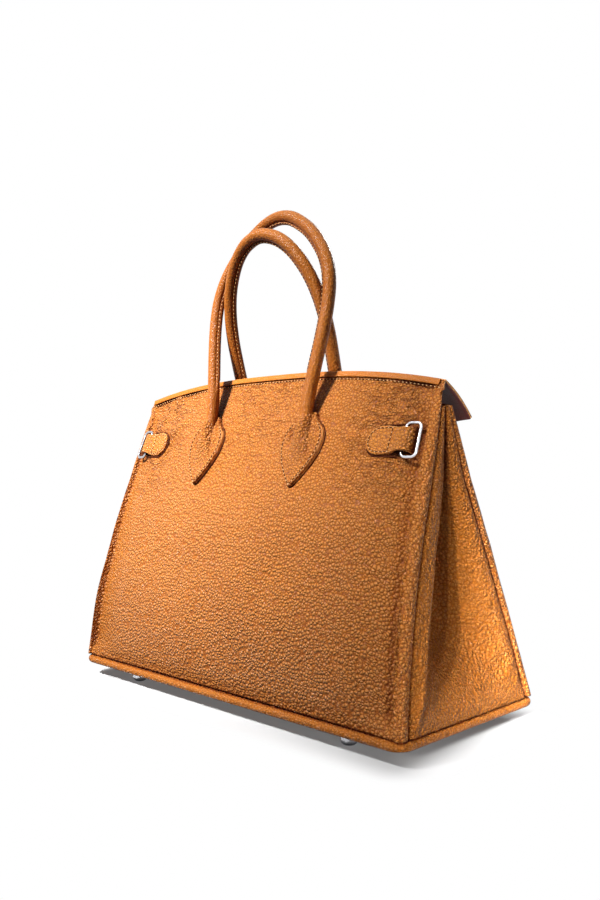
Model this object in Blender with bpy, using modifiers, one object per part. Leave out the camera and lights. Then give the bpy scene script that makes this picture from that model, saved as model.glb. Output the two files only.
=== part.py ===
"""Top-handle satchel in grained leather.

Two panels lean together over a footed base, with bellows gussets at the ends. Two rolled handles
stand on sewn tabs, a notched flap folds over the front, and two side straps run from sewn ends and
rings on the back, through slots in the walls, to a turnlock on the front.

Frame: X along the width, -Y at the back, +Y at the front, Z up, origin on the floor under the middle.
Every length is in metres.
"""

import math

import bmesh
import bpy
from mathutils import Matrix, Vector

# Clearances
GAP = 0.0003
SEAM_GAP = 0.0003
CUT_OVERRUN = 0.004

# Leather and lining
LEATHER = 0.0015
LINING = 0.0008
BEND_CLEARANCE = 0.0003

# Feet and base
FOOT_HEIGHT = 0.0102
FOOT_RADIUS = 0.0065
FOOT_FLAT_RADIUS = 0.0036
FOOT_STEM_RADIUS = 0.0015
FOOT_INSET_X = 0.057
FOOT_INSET_Y = 0.018
FOOT_WASHER_RADIUS = 0.005
FOOT_WASHER_THICKNESS = 0.001
BASE_THICKNESS = 0.0062
BASE_PROUD = 0.0015
BASE_CORNER = 0.012
BASE_EDGE_ROLL = 0.0024
BOARD_THICKNESS = 0.002
BOARD_INSET = 0.0042
BOARD_CORNER = 0.016

# Body, measured on the outside of the leather
BASE_WIDTH = 0.350
BASE_DEPTH = 0.155
TOP_INSET = 0.0134
BACK_HEIGHT = 0.2228
GUSSET_HEIGHT = 0.2055
TOP_ARCH = 0.0135
BACK_LEAN = 0.0641
BACK_BULGE = 0.018
FRONT_BULGE = 0.003
FRONT_BOW = 0.0035
SEAM_LIFT = 0.0006
GUSSET_TAPER = 0.030
GUSSET_TAPER_POWER = 1.6
GUSSET_FOLD_START = 0.006
GUSSET_FOLD_RUN = 0.050
GUSSET_MOUTH = 0.001
PANEL_ROLL = 0.006
LIP_ROLL = 0.003
GUSSET_ROLL = 0.0055
LIP_WIDTH = 0.003
LINING_DROP = 0.0034
LINING_MARGIN = 0.0005
GUSSET_LINING_START = 0.006
BINDING_HEIGHT = 0.0045
BINDING_THICKNESS = 0.0011
POCKET_ROWS = (2, 8)
POCKET_COLUMNS = (3, 8)

# Handles: rolled leather over a rope core, on almond tabs
TUBE_RADIUS = 0.0050
TUBE_WALL = 0.0015
CORE_RADIUS = 0.0028
CORE_SHORT = 0.002
HANDLE_SPREAD = 0.0545
BACK_HINGE_LEVEL = 0.2185
BACK_APEX_LEVEL = 0.380
BACK_HANDLE_REACH = 0.0250
BACK_HANDLE_HALF_WIDTH = 0.0636
FRONT_HINGE_LEVEL = 0.209
FRONT_APEX_LEVEL = 0.3620
FRONT_HANDLE_REACH = 0.0400
FRONT_HANDLE_HALF_WIDTH = 0.0545
TAB_LENGTH = 0.0464
TAB_HALF_WIDTH = 0.020
TAB_THICKNESS = 0.003
TAB_TOP_DROP = 0.0046

# Flap
FLAP_MIDDLE_LENGTH = 0.100
FLAP_SIDE_LENGTH = 0.078
FLAP_END_LENGTH = 0.041
FLAP_NOTCH_DEPTH = 0.0016
FLAP_NOTCH_INNER = 0.0405
FLAP_NOTCH_OUTER = 0.0685
FLAP_LOBE_SHARES = (0.0, 0.66, 0.84, 0.95, 1.0)
FLAP_WING_SHARES = (0.0, 0.05, 0.15, 0.55, 1.0)
FLAP_CORNER = 0.014
FLAP_PLATE_WIDTH = 0.034
FLAP_PLATE_HEIGHT = 0.020
FLAP_PLATE_SETBACK = 0.0145
PLATE_THICKNESS = 0.0012
PLATE_CORNER = 0.004
FLAP_SLOT_WIDTH = 0.018
FLAP_SLOT_HEIGHT = 0.008

# Side straps and rings
STRAP_THICKNESS = 0.002
STRAP_WIDTH = 0.0212
STRAP_FRONT_WIDTH = 0.017
STRAP_LEVEL = 0.200
STRAP_FRONT_LEVEL = 0.198
STRAP_SINK_INSET = 0.026
STRAP_SINK_X = BASE_WIDTH / 2.0 - STRAP_SINK_INSET
STRAP_END_LENGTH = 0.0358
STRAP_END_X = STRAP_SINK_X - STRAP_END_LENGTH
STRAP_SLOT_WIDTH = 0.010
STRAP_SLOT_MARGIN = 0.003
STRAP_RAMP = 0.008
TAB_OVER = 0.0017
RING_WIDTH = 0.0140
RING_HEIGHT = 0.0270
RING_WIRE_RADIUS = 0.0013
RING_CORNER = 0.0036

# Turnlock
LOCK_LEVEL = 0.174
LOCK_BASE_WIDTH = 0.026
LOCK_BASE_HEIGHT = 0.016
LOCK_BASE_THICKNESS = 0.0015
LOCK_BORE_RADIUS = 0.0022
LOCK_STEM_RADIUS = 0.0018
LOCK_PIN_RADIUS = 0.0008
LOCK_PIN_SPREAD = 0.0095
TOGGLE_LENGTH = 0.014
TOGGLE_WIDTH = 0.005
TOGGLE_THICKNESS = 0.004
STRAP_PLATE_REACH = 0.012
STRAP_PLATE_LENGTH = 0.038
STRAP_PLATE_HEIGHT = 0.018
STRAP_PLATE_SLOT_WIDTH = 0.017
STRAP_PLATE_SLOT_HEIGHT = 0.0065

# Levels and sizes that follow
BASE_TOP = FOOT_HEIGHT + GAP + BASE_THICKNESS
SEAM_LEVEL = BASE_TOP + GAP + SEAM_LIFT
BOARD_TOP = BASE_TOP + GAP + BOARD_THICKNESS
FLOOR_BOTTOM = BOARD_TOP + FOOT_WASHER_THICKNESS + 2.0 * GAP
FLOOR_TOP = FLOOR_BOTTOM + LINING
BEND = LEATHER + BEND_CLEARANCE
LINING_SINK = LEATHER + GAP
GUSSET_LINING_SINK = LINING_SINK + 1.5 * GAP
TOP_STACK = 2.0 * (4.0 * BEND + SEAM_GAP) + GUSSET_MOUTH

# Shares chosen by hand
ROW_SHARES = (0.0, 0.06, 0.14, 0.24, 0.36, 0.48, 0.61, 0.74, 0.87, 1.0)
COLUMN_SHARES = (-1.0, -0.85, -0.66, -0.45, -0.22, 0.0, 0.22, 0.45, 0.66, 0.85, 1.0)
EDGE_BULGE_SHARE = 0.5
BULGE_POWER_SHARE = 0.9
ARCH_POWER_SHARE = 2.6
ROLL_GROWTH_SHARE = 0.2
LIP_GROWTH_SHARE = 0.1
PROBE_SHARE = 0.002
BACK_HANDLE_SHARES = (
    (0.845, 0.0), (0.862, 0.10), (0.899, 0.207), (0.946, 0.319), (0.984, 0.430), (1.0, 0.523),
    (0.992, 0.604), (0.946, 0.684), (0.860, 0.759), (0.729, 0.830), (0.581, 0.892),
    (0.403, 0.944), (0.209, 0.985), (0.0, 1.0))
FRONT_HANDLE_SHARES = (
    (1.0, 0.0), (0.985, 0.136), (0.982, 0.266), (0.991, 0.383), (0.991, 0.487), (0.963, 0.591),
    (0.908, 0.682), (0.829, 0.760), (0.716, 0.834), (0.560, 0.906), (0.367, 0.961),
    (0.174, 0.990), (0.0, 1.0))
TAB_OUTLINE_SHARES = (
    (0.0, 0.06), (0.08, 0.24), (0.2, 0.48), (0.36, 0.74), (0.54, 0.94), (0.70, 1.0), (0.83, 0.95),
    (0.93, 0.78), (1.0, 0.50))
TAB_COLUMN_SHARES = (-1.0, -0.62, -0.32, -0.15, 0.0, 0.15, 0.32, 0.62, 1.0)
TAB_FADE_SHARE = 0.62
GUSSET_LIP_POINTS = 6
FLAP_ROOT_ANGLE = math.radians(25.0)
FLAP_TIP_ANGLE = math.radians(74.0)
FLAP_TAPER_SHARE = 0.97
FLAP_ROW_SHARES = (0.0, 0.2, 0.4, 0.6, 0.8, 1.0)

LEATHER_TAN = (0.52, 0.20, 0.055)
LINING_MAROON = (0.10, 0.018, 0.018)
BOARD_BROWN = (0.25, 0.17, 0.10)
ROPE_CREAM = (0.62, 0.52, 0.36)
STEEL_BRIGHT = (0.72, 0.72, 0.74)


# Scene, collections and materials

def clear_scene():
    for item in list(bpy.data.objects):
        bpy.data.objects.remove(item, do_unlink=True)


def new_collection(name):
    collection = bpy.data.collections.new(name)
    bpy.context.scene.collection.children.link(collection)
    return collection


def new_material(name, color, roughness, metallic):
    material = bpy.data.materials.new(name)
    material.use_nodes = True
    shader = material.node_tree.nodes["Principled BSDF"]
    shader.inputs["Base Color"].default_value = (*color, 1.0)
    shader.inputs["Roughness"].default_value = roughness
    shader.inputs["Metallic"].default_value = metallic
    return material


clear_scene()
BAG = new_collection("top_handle_satchel")
CUTTERS = new_collection("cutters")
TAN = new_material("grained_leather", LEATHER_TAN, 0.48, 0.0)
MAROON = new_material("goat_lining", LINING_MAROON, 0.6, 0.0)
FIBRE = new_material("fibre_board", BOARD_BROWN, 0.8, 0.0)
ROPE = new_material("cotton_rope", ROPE_CREAM, 0.9, 0.0)
STEEL = new_material("polished_steel", STEEL_BRIGHT, 0.18, 1.0)


# Mesh tools

def add_object(name, data, material, collection=BAG):
    piece = bpy.data.objects.new(name, data)
    collection.objects.link(piece)
    if material is not None:
        data.materials.append(material)
    return piece


def shade(piece, degrees=40.0):
    piece.data.shade_smooth()
    piece.data.set_sharp_from_angle(angle=math.radians(degrees))


def grid_mesh(name, rows, keep_cell=None):
    """A sheet of quads through rows of points, seen counter-clockwise from its outer side."""
    bm = bmesh.new()
    verts = [[bm.verts.new(point) for point in row] for row in rows]
    for r in range(len(rows) - 1):
        for c in range(len(rows[r]) - 1):
            if keep_cell is None or keep_cell(r, c):
                bm.faces.new((verts[r][c], verts[r][c + 1], verts[r + 1][c + 1], verts[r + 1][c]))
    loose = [vert for vert in bm.verts if not vert.link_faces]
    bmesh.ops.delete(bm, geom=loose, context="VERTS")
    mesh = bpy.data.meshes.new(name)
    bm.to_mesh(mesh)
    bm.free()
    return mesh


def sink(mesh, depth):
    """Moves a sheet towards its inner side by one depth, along its own normals."""
    bm = bmesh.new()
    bm.from_mesh(mesh)
    bm.normal_update()
    shifts = [vert.normal * depth for vert in bm.verts]
    for vert, shift in zip(bm.verts, shifts):
        vert.co -= shift
    bm.to_mesh(mesh)
    bm.free()


def sheet(name, rows, wall, material, depth=0.0, keep_cell=None, offset=-1.0):
    """A skin of one wall thickness, lying a depth below the surface through the rows."""
    mesh = grid_mesh(name, rows, keep_cell)
    if depth > 0.0:
        sink(mesh, depth)
    piece = add_object(name, mesh, material)
    solid = piece.modifiers.new("wall", "SOLIDIFY")
    solid.thickness = wall
    solid.offset = offset
    shade(piece)
    return piece


def loft(name, lower, upper, material):
    """A closed solid between two like grids, the upper one outside."""
    bm = bmesh.new()
    low = [[bm.verts.new(point) for point in row] for row in lower]
    top = [[bm.verts.new(point) for point in row] for row in upper]
    rows = len(low)
    columns = len(low[0])
    for r in range(rows - 1):
        for c in range(columns - 1):
            bm.faces.new((top[r][c], top[r][c + 1], top[r + 1][c + 1], top[r + 1][c]))
            bm.faces.new((low[r + 1][c], low[r + 1][c + 1], low[r][c + 1], low[r][c]))
    rim = [(0, c) for c in range(columns)]
    rim += [(r, columns - 1) for r in range(1, rows)]
    rim += [(rows - 1, c) for c in range(columns - 2, -1, -1)]
    rim += [(r, 0) for r in range(rows - 2, 0, -1)]
    for here, after in zip(rim, rim[1:] + rim[:1]):
        a = low[here[0]][here[1]]
        b = low[after[0]][after[1]]
        c = top[after[0]][after[1]]
        d = top[here[0]][here[1]]
        bm.faces.new((a, b, c, d))
    mesh = bpy.data.meshes.new(name)
    bm.to_mesh(mesh)
    bm.free()
    piece = add_object(name, mesh, material)
    shade(piece)
    return piece


def rounded_outline(width, height, radius, steps):
    """Points of a rounded rectangle about the origin, counter-clockwise."""
    points = []
    for quarter in range(4):
        angle = quarter * math.pi / 2.0
        side_x = 1.0 if quarter in (0, 3) else -1.0
        side_y = 1.0 if quarter in (0, 1) else -1.0
        center = (side_x * (width / 2.0 - radius), side_y * (height / 2.0 - radius))
        for step in range(steps + 1):
            turn = angle + step / steps * math.pi / 2.0
            points.append((center[0] + radius * math.cos(turn), center[1] + radius * math.sin(turn)))
    return points


def plate_mesh(name, width, height, thickness, radius, steps=4):
    """A flat plate with rounded corners, its lower face at zero."""
    bm = bmesh.new()
    outline = rounded_outline(width, height, radius, steps)
    face = bm.faces.new([bm.verts.new((x, y, 0.0)) for x, y in outline])
    raised = bmesh.ops.extrude_face_region(bm, geom=[face])
    lifted = [item for item in raised["geom"] if isinstance(item, bmesh.types.BMVert)]
    bmesh.ops.translate(bm, verts=lifted, vec=(0.0, 0.0, thickness))
    bmesh.ops.remove_doubles(bm, verts=bm.verts, dist=GAP / 10.0)
    bmesh.ops.recalc_face_normals(bm, faces=bm.faces)
    mesh = bpy.data.meshes.new(name)
    bm.to_mesh(mesh)
    bm.free()
    return mesh


def cylinder_mesh(name, places, radius, low, high, segments):
    """Upright cylinders of one size, one at each place in the plane."""
    bm = bmesh.new()
    for x, y in places:
        made = bmesh.ops.create_cone(
            bm, cap_ends=True, segments=segments, radius1=radius, radius2=radius, depth=high - low)
        bmesh.ops.translate(bm, verts=made["verts"], vec=(x, y, (high + low) / 2.0))
    mesh = bpy.data.meshes.new(name)
    bm.to_mesh(mesh)
    bm.free()
    return mesh


def cutter(name, mesh, matrix=None):
    piece = add_object(name, mesh, None, CUTTERS)
    if matrix is not None:
        piece.matrix_world = matrix
    piece.hide_render = True
    piece.display_type = "WIRE"
    return piece


def combine(piece, other, operation="DIFFERENCE"):
    change = piece.modifiers.new(operation.lower(), "BOOLEAN")
    change.operation = operation
    change.object = other
    change.solver = "EXACT"


def hang_at(piece, pivot):
    """Puts the origin of a piece on its joint's axis, with the piece where it was."""
    piece.data.transform(Matrix.Translation(-pivot))
    piece.location = pivot


def smooth_through(points, count):
    """Evenly spread points on a Catmull-Rom curve through the given points."""
    ends = [points[0] * 2.0 - points[1]] + list(points) + [points[-1] * 2.0 - points[-2]]
    fine = []
    fine_steps = 12
    for i in range(1, len(ends) - 2):
        for step in range(fine_steps):
            s = step / fine_steps
            a = ends[i] * 2.0
            b = (ends[i + 1] - ends[i - 1]) * s
            c = (ends[i - 1] * 2.0 - ends[i] * 5.0 + ends[i + 1] * 4.0 - ends[i + 2]) * s * s
            d = (ends[i] * 3.0 - ends[i - 1] - ends[i + 1] * 3.0 + ends[i + 2]) * s * s * s
            fine.append((a + b + c + d) / 2.0)
    fine.append(points[-1])
    marks = [0.0]
    for before, after in zip(fine, fine[1:]):
        marks.append(marks[-1] + (after - before).length)
    spread = []
    i = 0
    for k in range(count):
        target = marks[-1] * k / (count - 1)
        while i < len(fine) - 2 and marks[i + 1] < target:
            i += 1
        span = marks[i + 1] - marks[i]
        spread.append(fine[i].lerp(fine[i + 1], min(1.0, (target - marks[i]) / span)))
    return spread


def wire_curve(name, points, radius, resolution, cyclic, caps):
    data = bpy.data.curves.new(name, "CURVE")
    data.dimensions = "3D"
    data.bevel_depth = radius
    data.bevel_resolution = resolution
    data.use_fill_caps = caps
    data.render_resolution_u = 0
    spline = data.splines.new("POLY")
    spline.points.add(len(points) - 1)
    for slot, point in zip(spline.points, points):
        slot.co = (*point, 1.0)
    spline.use_cyclic_u = cyclic
    return data


def mesh_from_curve(name, data):
    """Turns a curve's tube into a mesh, which a modifier can then work on."""
    guide = bpy.data.objects.new(name + "_guide", data)
    bpy.context.scene.collection.objects.link(guide)
    graph = bpy.context.evaluated_depsgraph_get()
    mesh = bpy.data.meshes.new_from_object(guide.evaluated_get(graph))
    bpy.data.objects.remove(guide, do_unlink=True)
    bm = bmesh.new()
    bm.from_mesh(mesh)
    bmesh.ops.remove_doubles(bm, verts=bm.verts, dist=GAP / 10.0)
    bmesh.ops.recalc_face_normals(bm, faces=bm.faces)
    bm.to_mesh(mesh)
    bm.free()
    return mesh


def frame_matrix(origin, normal):
    """Axes of a plate that lies on a panel: local Z is the panel's normal, local Y runs up it."""
    up = Vector((0.0, 0.0, 1.0))
    along = up.cross(normal).normalized()
    rise = normal.cross(along).normalized()
    turn = Matrix((along, rise, normal)).transposed().to_4x4()
    return Matrix.Translation(origin) @ turn


# Form of the body

def half_width(height):
    """Half the body's width at a height above the base seam."""
    share = height / BACK_HEIGHT
    return BASE_WIDTH / 2.0 - TOP_INSET * share


class PanelForm:
    """The outer face of the back or front panel, by x and by share of its height."""

    def __init__(self, side, height, lean, bow, bulge):
        self.side = side
        self.height = height
        self.lean = lean
        self.bow = bow
        self.bulge = bulge

    def arch(self, x, share):
        across = min(1.0, abs(x) / half_width(share * self.height))
        return TOP_ARCH * (1.0 - across ** ARCH_POWER_SHARE)

    def point(self, x, share):
        across = x / half_width(share * self.height)
        swell = self.bulge * math.sin(math.pi * max(share, 0.0) ** BULGE_POWER_SHARE)
        swell *= 1.0 - EDGE_BULGE_SHARE * across * across
        lean = (self.lean + self.bow * (1.0 - across * across)) * share
        y = self.side * (BASE_DEPTH / 2.0 - lean + swell)
        return Vector((x, y, SEAM_LEVEL + share * (self.height + self.arch(x, share))))

    def normal(self, x, share):
        step = PROBE_SHARE
        low = max(share - step, 0.0)
        rise = self.point(x, low + 2.0 * step) - self.point(x, low)
        reach = step * BASE_WIDTH
        along = self.point(x + reach, share) - self.point(x - reach, share)
        normal = rise.cross(along) if self.side > 0 else along.cross(rise)
        return normal.normalized()

    def lifted(self, x, share, lift):
        return self.point(x, share) + self.normal(x, share) * lift

    def share_at(self, x, level):
        share = (level - SEAM_LEVEL) / self.height
        for _ in range(6):
            share = (level - SEAM_LEVEL) / (self.height + self.arch(x, share))
        return share

    def lifted_at(self, x, level, lift):
        return self.lifted(x, self.share_at(x, level), lift)


BACK = PanelForm(-1.0, BACK_HEIGHT, BACK_LEAN, 0.0, BACK_BULGE)
BACK_AT_GUSSET_TOP = BACK.point(half_width(GUSSET_HEIGHT), GUSSET_HEIGHT / BACK_HEIGHT)
FRONT_LEAN = BASE_DEPTH / 2.0 - (BACK_AT_GUSSET_TOP.y + TOP_STACK)
FRONT = PanelForm(1.0, GUSSET_HEIGHT, FRONT_LEAN, FRONT_BOW, FRONT_BULGE)


def edge_y(form, height):
    return form.point(half_width(height), height / form.height).y


def roll_radii(height):
    """Radii of the panel's edge, its turned lip and the gusset's fold at one height."""
    spare = (edge_y(FRONT, height) - edge_y(BACK, height) - TOP_STACK) / 2.0
    panel = min(max(PANEL_ROLL, BEND), BEND + ROLL_GROWTH_SHARE * spare)
    lip = min(max(LIP_ROLL, BEND), BEND + LIP_GROWTH_SHARE * spare)
    fold = min(max(GUSSET_ROLL, BEND), BEND + ROLL_GROWTH_SHARE * spare)
    return panel, lip, fold


def seam_y(form, height):
    """The seam between a panel's turned lip and the gusset, at one height."""
    panel, lip, _ = roll_radii(height)
    return edge_y(form, height) - form.side * (panel + lip + SEAM_GAP / 2.0)


def arc_points(center, radius, start, end, steps):
    turns = [start + (end - start) * step / steps for step in range(steps + 1)]
    return [(center[0] + radius * math.cos(a), center[1] + radius * math.sin(a)) for a in turns]


def panel_edge(form, height, rolled_share):
    """Points of a panel's right edge in plan: round the corner, then in along the lip."""
    panel, lip, _ = roll_radii(min(height, GUSSET_HEIGHT))
    wide = half_width(height)
    face = form.side * edge_y(form, height)
    corner = arc_points((wide - panel, face - panel), panel, math.pi / 2.0, 0.0, 3)[1:]
    inner = arc_points((wide - lip, face - panel), lip, 0.0, -math.pi / 2.0, 2)[1:]
    rolled = corner + inner + [(wide - lip - LIP_WIDTH, face - panel - lip)]
    count = len(rolled)
    points = []
    for k, (x, y) in enumerate(rolled):
        flat_x = wide - panel + panel * (k + 1) / count
        flat_y = form.side * form.point(flat_x, height / form.height).y
        points.append((x * rolled_share + flat_x * (1.0 - rolled_share),
                       (y * rolled_share + flat_y * (1.0 - rolled_share)) * form.side))
    return points


def lined_half(height):
    """Half the width of a panel's lining, which stops short of the turned lips."""
    panel, lip, _ = roll_radii(min(height, GUSSET_HEIGHT))
    return half_width(height) - max(lip + LIP_WIDTH, panel) - LINING_MARGIN


def panel_heights(form):
    heights = [share * GUSSET_HEIGHT for share in ROW_SHARES]
    if form.height > GUSSET_HEIGHT:
        heights += [(form.height + GUSSET_HEIGHT) / 2.0, form.height]
    return heights


def panel_row(form, height):
    """The flat columns at one height, the outermost ones at the lining's edges."""
    share = height / form.height
    return [form.point(column * lined_half(height), share) for column in COLUMN_SHARES]


def panel_rows(form):
    """Rows from the base seam up to the top edge, each from one lip across to the other."""
    rows = []
    for height in panel_heights(form):
        over = max(0.0, height - GUSSET_HEIGHT)
        rolled = 1.0 - over / (form.height - GUSSET_HEIGHT) if over > 0.0 else 1.0
        roll_start = half_width(height) - roll_radii(min(height, GUSSET_HEIGHT))[0]
        edge = []
        if roll_start > lined_half(height) + GAP:
            edge.append(form.point(roll_start, height / form.height))
        edge += [Vector((x, y, SEAM_LEVEL + height)) for x, y in panel_edge(form, height, rolled)]
        mirror = [Vector((-p.x, p.y, p.z)) for p in reversed(edge)]
        row = mirror + panel_row(form, height) + edge
        rows.append(row if form.side < 0.0 else row[::-1])
    return rows


def row_between(rows, heights, height):
    """The row of a ruled sheet at one height, between its own rows."""
    k = 0
    while k < len(heights) - 2 and heights[k + 1] < height:
        k += 1
    share = (height - heights[k]) / (heights[k + 1] - heights[k])
    return [low.lerp(high, share) for low, high in zip(rows[k], rows[k + 1])]


def rows_inside(rows, heights, top_drop):
    """A ruled sheet trimmed to run from the lined floor to a drop below its top."""
    low = FLOOR_TOP + GAP - SEAM_LEVEL
    high = heights[-1] - top_drop
    inside = [row for row, height in zip(rows, heights) if low < height < high]
    return [row_between(rows, heights, low)] + inside + [row_between(rows, heights, high)]


def lining_rows(form):
    heights = panel_heights(form)
    rows = [panel_row(form, height) for height in heights]
    trimmed = rows_inside(rows, heights, LINING_DROP)
    return trimmed if form.side < 0.0 else [row[::-1] for row in trimmed]


def gusset_section(height):
    """The right gusset in plan at one height: lip, fold, bellows leg, valley, and back again."""
    _, lip, fold = roll_radii(height)
    wide = half_width(height)
    back = seam_y(BACK, height) + SEAM_GAP / 2.0
    front = seam_y(FRONT, height) - SEAM_GAP / 2.0
    middle = (back + front) / 2.0
    half_gap = (edge_y(FRONT, height) - edge_y(BACK, height)) / 2.0
    leg_length = BASE_DEPTH / 2.0 - GUSSET_TAPER * (height / GUSSET_HEIGHT) ** GUSSET_TAPER_POWER
    grown = max(0.0, min(1.0, (height - GUSSET_FOLD_START) / GUSSET_FOLD_RUN))
    depth = math.sqrt(max(0.0, leg_length ** 2 - half_gap ** 2)) * math.sin(grown * math.pi / 2.0)
    center = (wide - fold, back + fold)
    reach = (-depth + fold, middle - center[1])
    distance = math.hypot(*reach)
    tangent = math.atan2(reach[1], reach[0]) - math.acos(min(1.0, fold / distance))
    start = [(wide - lip - LIP_WIDTH, back)]
    start += arc_points(center, fold, -math.pi / 2.0, tangent, GUSSET_LIP_POINTS - 2)
    leg_from = start[-1]
    valley = (wide - depth, middle)
    soft = 0.25 + 0.5 * (1.0 - height / GUSSET_HEIGHT)
    leg = []
    leg_run = math.hypot(valley[0] - leg_from[0], valley[1] - leg_from[1])
    first = GUSSET_LINING_START / leg_run
    for s in (first, (first + 1.0 - soft) / 2.0, 1.0 - soft):
        leg.append((leg_from[0] + (valley[0] - leg_from[0]) * s,
                    leg_from[1] + (valley[1] - leg_from[1]) * s))
    turn = []
    for s in (0.35, 0.5):
        side = (leg[-1][0] * (1.0 - s) + valley[0] * s, leg[-1][1] * (1.0 - s) + valley[1] * s)
        far = (valley[0] * (1.0 - s) + leg[-1][0] * s,
               valley[1] * (1.0 - s) + (2.0 * middle - leg[-1][1]) * s)
        turn.append((side[0] * (1.0 - s) + far[0] * s, side[1] * (1.0 - s) + far[1] * s))
    half = start + leg + turn
    other = [(x, 2.0 * middle - y) for x, y in reversed(half[:-1])]
    return half + other


def gusset_rows():
    rows = []
    for share in ROW_SHARES:
        height = share * GUSSET_HEIGHT
        rows.append([Vector((x, y, SEAM_LEVEL + height)) for x, y in gusset_section(height)])
    return rows


def gusset_lining_rows():
    """The gusset's two bellows legs and valley, from inside the folds, without the lips."""
    heights = [share * GUSSET_HEIGHT for share in ROW_SHARES]
    skip = GUSSET_LIP_POINTS
    return [row[skip:-skip] for row in rows_inside(gusset_rows(), heights, LINING_DROP)]


def mirrored(rows):
    return [[Vector((-p.x, p.y, p.z)) for p in reversed(row)] for row in rows]


# Base, board and feet

def base_pieces():
    base_mesh = plate_mesh(
        "base_panel", BASE_WIDTH + 2.0 * BASE_PROUD, BASE_DEPTH + 2.0 * BASE_PROUD,
        BASE_THICKNESS, BASE_CORNER, 5)
    base = add_object("base_panel", base_mesh, TAN)
    base.location.z = FOOT_HEIGHT + GAP
    roll = base.modifiers.new("edge_roll", "BEVEL")
    roll.width = BASE_EDGE_ROLL
    roll.segments = 2
    roll.limit_method = "ANGLE"
    shade(base)

    board_width = BASE_WIDTH - 2.0 * (BOARD_INSET + LINING_SINK)
    board_depth = BASE_DEPTH - 2.0 * (BOARD_INSET + LEATHER)
    board = add_object(
        "base_board",
        plate_mesh("base_board", board_width, board_depth, BOARD_THICKNESS, BOARD_CORNER), FIBRE)
    board.location.z = BASE_TOP + GAP
    lining = add_object(
        "base_lining",
        plate_mesh("base_lining", board_width, board_depth, LINING, BOARD_CORNER), MAROON)
    lining.location.z = FLOOR_BOTTOM

    places = foot_places()
    holes = cylinder_mesh(
        "foot_holes", places, FOOT_STEM_RADIUS + GAP, FOOT_HEIGHT - CUT_OVERRUN,
        BOARD_TOP + CUT_OVERRUN, 12)
    hole_cutter = cutter("foot_holes", holes)
    combine(base, hole_cutter)
    combine(board, hole_cutter)


def foot_places():
    x = BASE_WIDTH / 2.0 - FOOT_INSET_X
    y = BASE_DEPTH / 2.0 - FOOT_INSET_Y
    return [(-x, -y), (x, -y), (-x, y), (x, y)]


def foot_profile():
    """Radius and height down the outside of a foot: stem, flange and dome with a flat bottom."""
    stem_top = BOARD_TOP + GAP + FOOT_WASHER_THICKNESS
    points = [(0.0, stem_top), (FOOT_STEM_RADIUS, stem_top), (FOOT_STEM_RADIUS, FOOT_HEIGHT)]
    points.append((FOOT_RADIUS, FOOT_HEIGHT))
    dome = FOOT_RADIUS - FOOT_FLAT_RADIUS
    for step in range(4):
        turn = step / 3.0 * math.pi / 2.0
        level = FOOT_HEIGHT / 2.0 * (1.0 - math.sin(turn))
        points.append((FOOT_FLAT_RADIUS + dome * math.cos(turn), level))
    points.append((0.0, 0.0))
    return points


def turned(name, profile, material, segments):
    """A profile down its outer side, spun about Z."""
    bm = bmesh.new()
    verts = [bm.verts.new((radius, 0.0, level)) for radius, level in profile]
    for before, after in zip(verts, verts[1:]):
        bm.edges.new((before, after))
    mesh = bpy.data.meshes.new(name)
    bm.to_mesh(mesh)
    bm.free()
    piece = add_object(name, mesh, material)
    spin = piece.modifiers.new("spin", "SCREW")
    spin.steps = segments
    spin.render_steps = segments
    spin.use_merge_vertices = True
    spin.merge_threshold = GAP / 10.0
    spin.use_normal_calculate = False
    return piece


def foot_pieces():
    washer_profile = [
        (FOOT_STEM_RADIUS + GAP, FOOT_WASHER_THICKNESS), (FOOT_WASHER_RADIUS, FOOT_WASHER_THICKNESS),
        (FOOT_WASHER_RADIUS, 0.0), (FOOT_STEM_RADIUS + GAP, 0.0),
        (FOOT_STEM_RADIUS + GAP, FOOT_WASHER_THICKNESS)]
    for name, place in zip(("back_left", "back_right", "front_left", "front_right"), foot_places()):
        foot = turned("foot_" + name, foot_profile(), STEEL, 12)
        foot.location = (place[0], place[1], 0.0)
        washer = turned("foot_washer_" + name, washer_profile, STEEL, 12)
        washer.location = (place[0], place[1], BOARD_TOP + GAP)


# Panels, gussets, linings and edge bindings

def strap_slot_cutter(side):
    """A long box through both walls where a side strap passes."""
    name = "strap_slot_left" if side < 0.0 else "strap_slot_right"
    width = STRAP_SLOT_WIDTH
    height = STRAP_FRONT_WIDTH + 2.0 * STRAP_SLOT_MARGIN
    mesh = plate_mesh(name, width, height, BASE_DEPTH, STRAP_SLOT_MARGIN, 3)
    matrix = Matrix.Translation((side * (STRAP_SINK_X + STRAP_THICKNESS / 2.0),
                                 BASE_DEPTH / 2.0, STRAP_LEVEL))
    return cutter(name, mesh, matrix @ Matrix.Rotation(math.pi / 2.0, 4, "X"))


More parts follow.
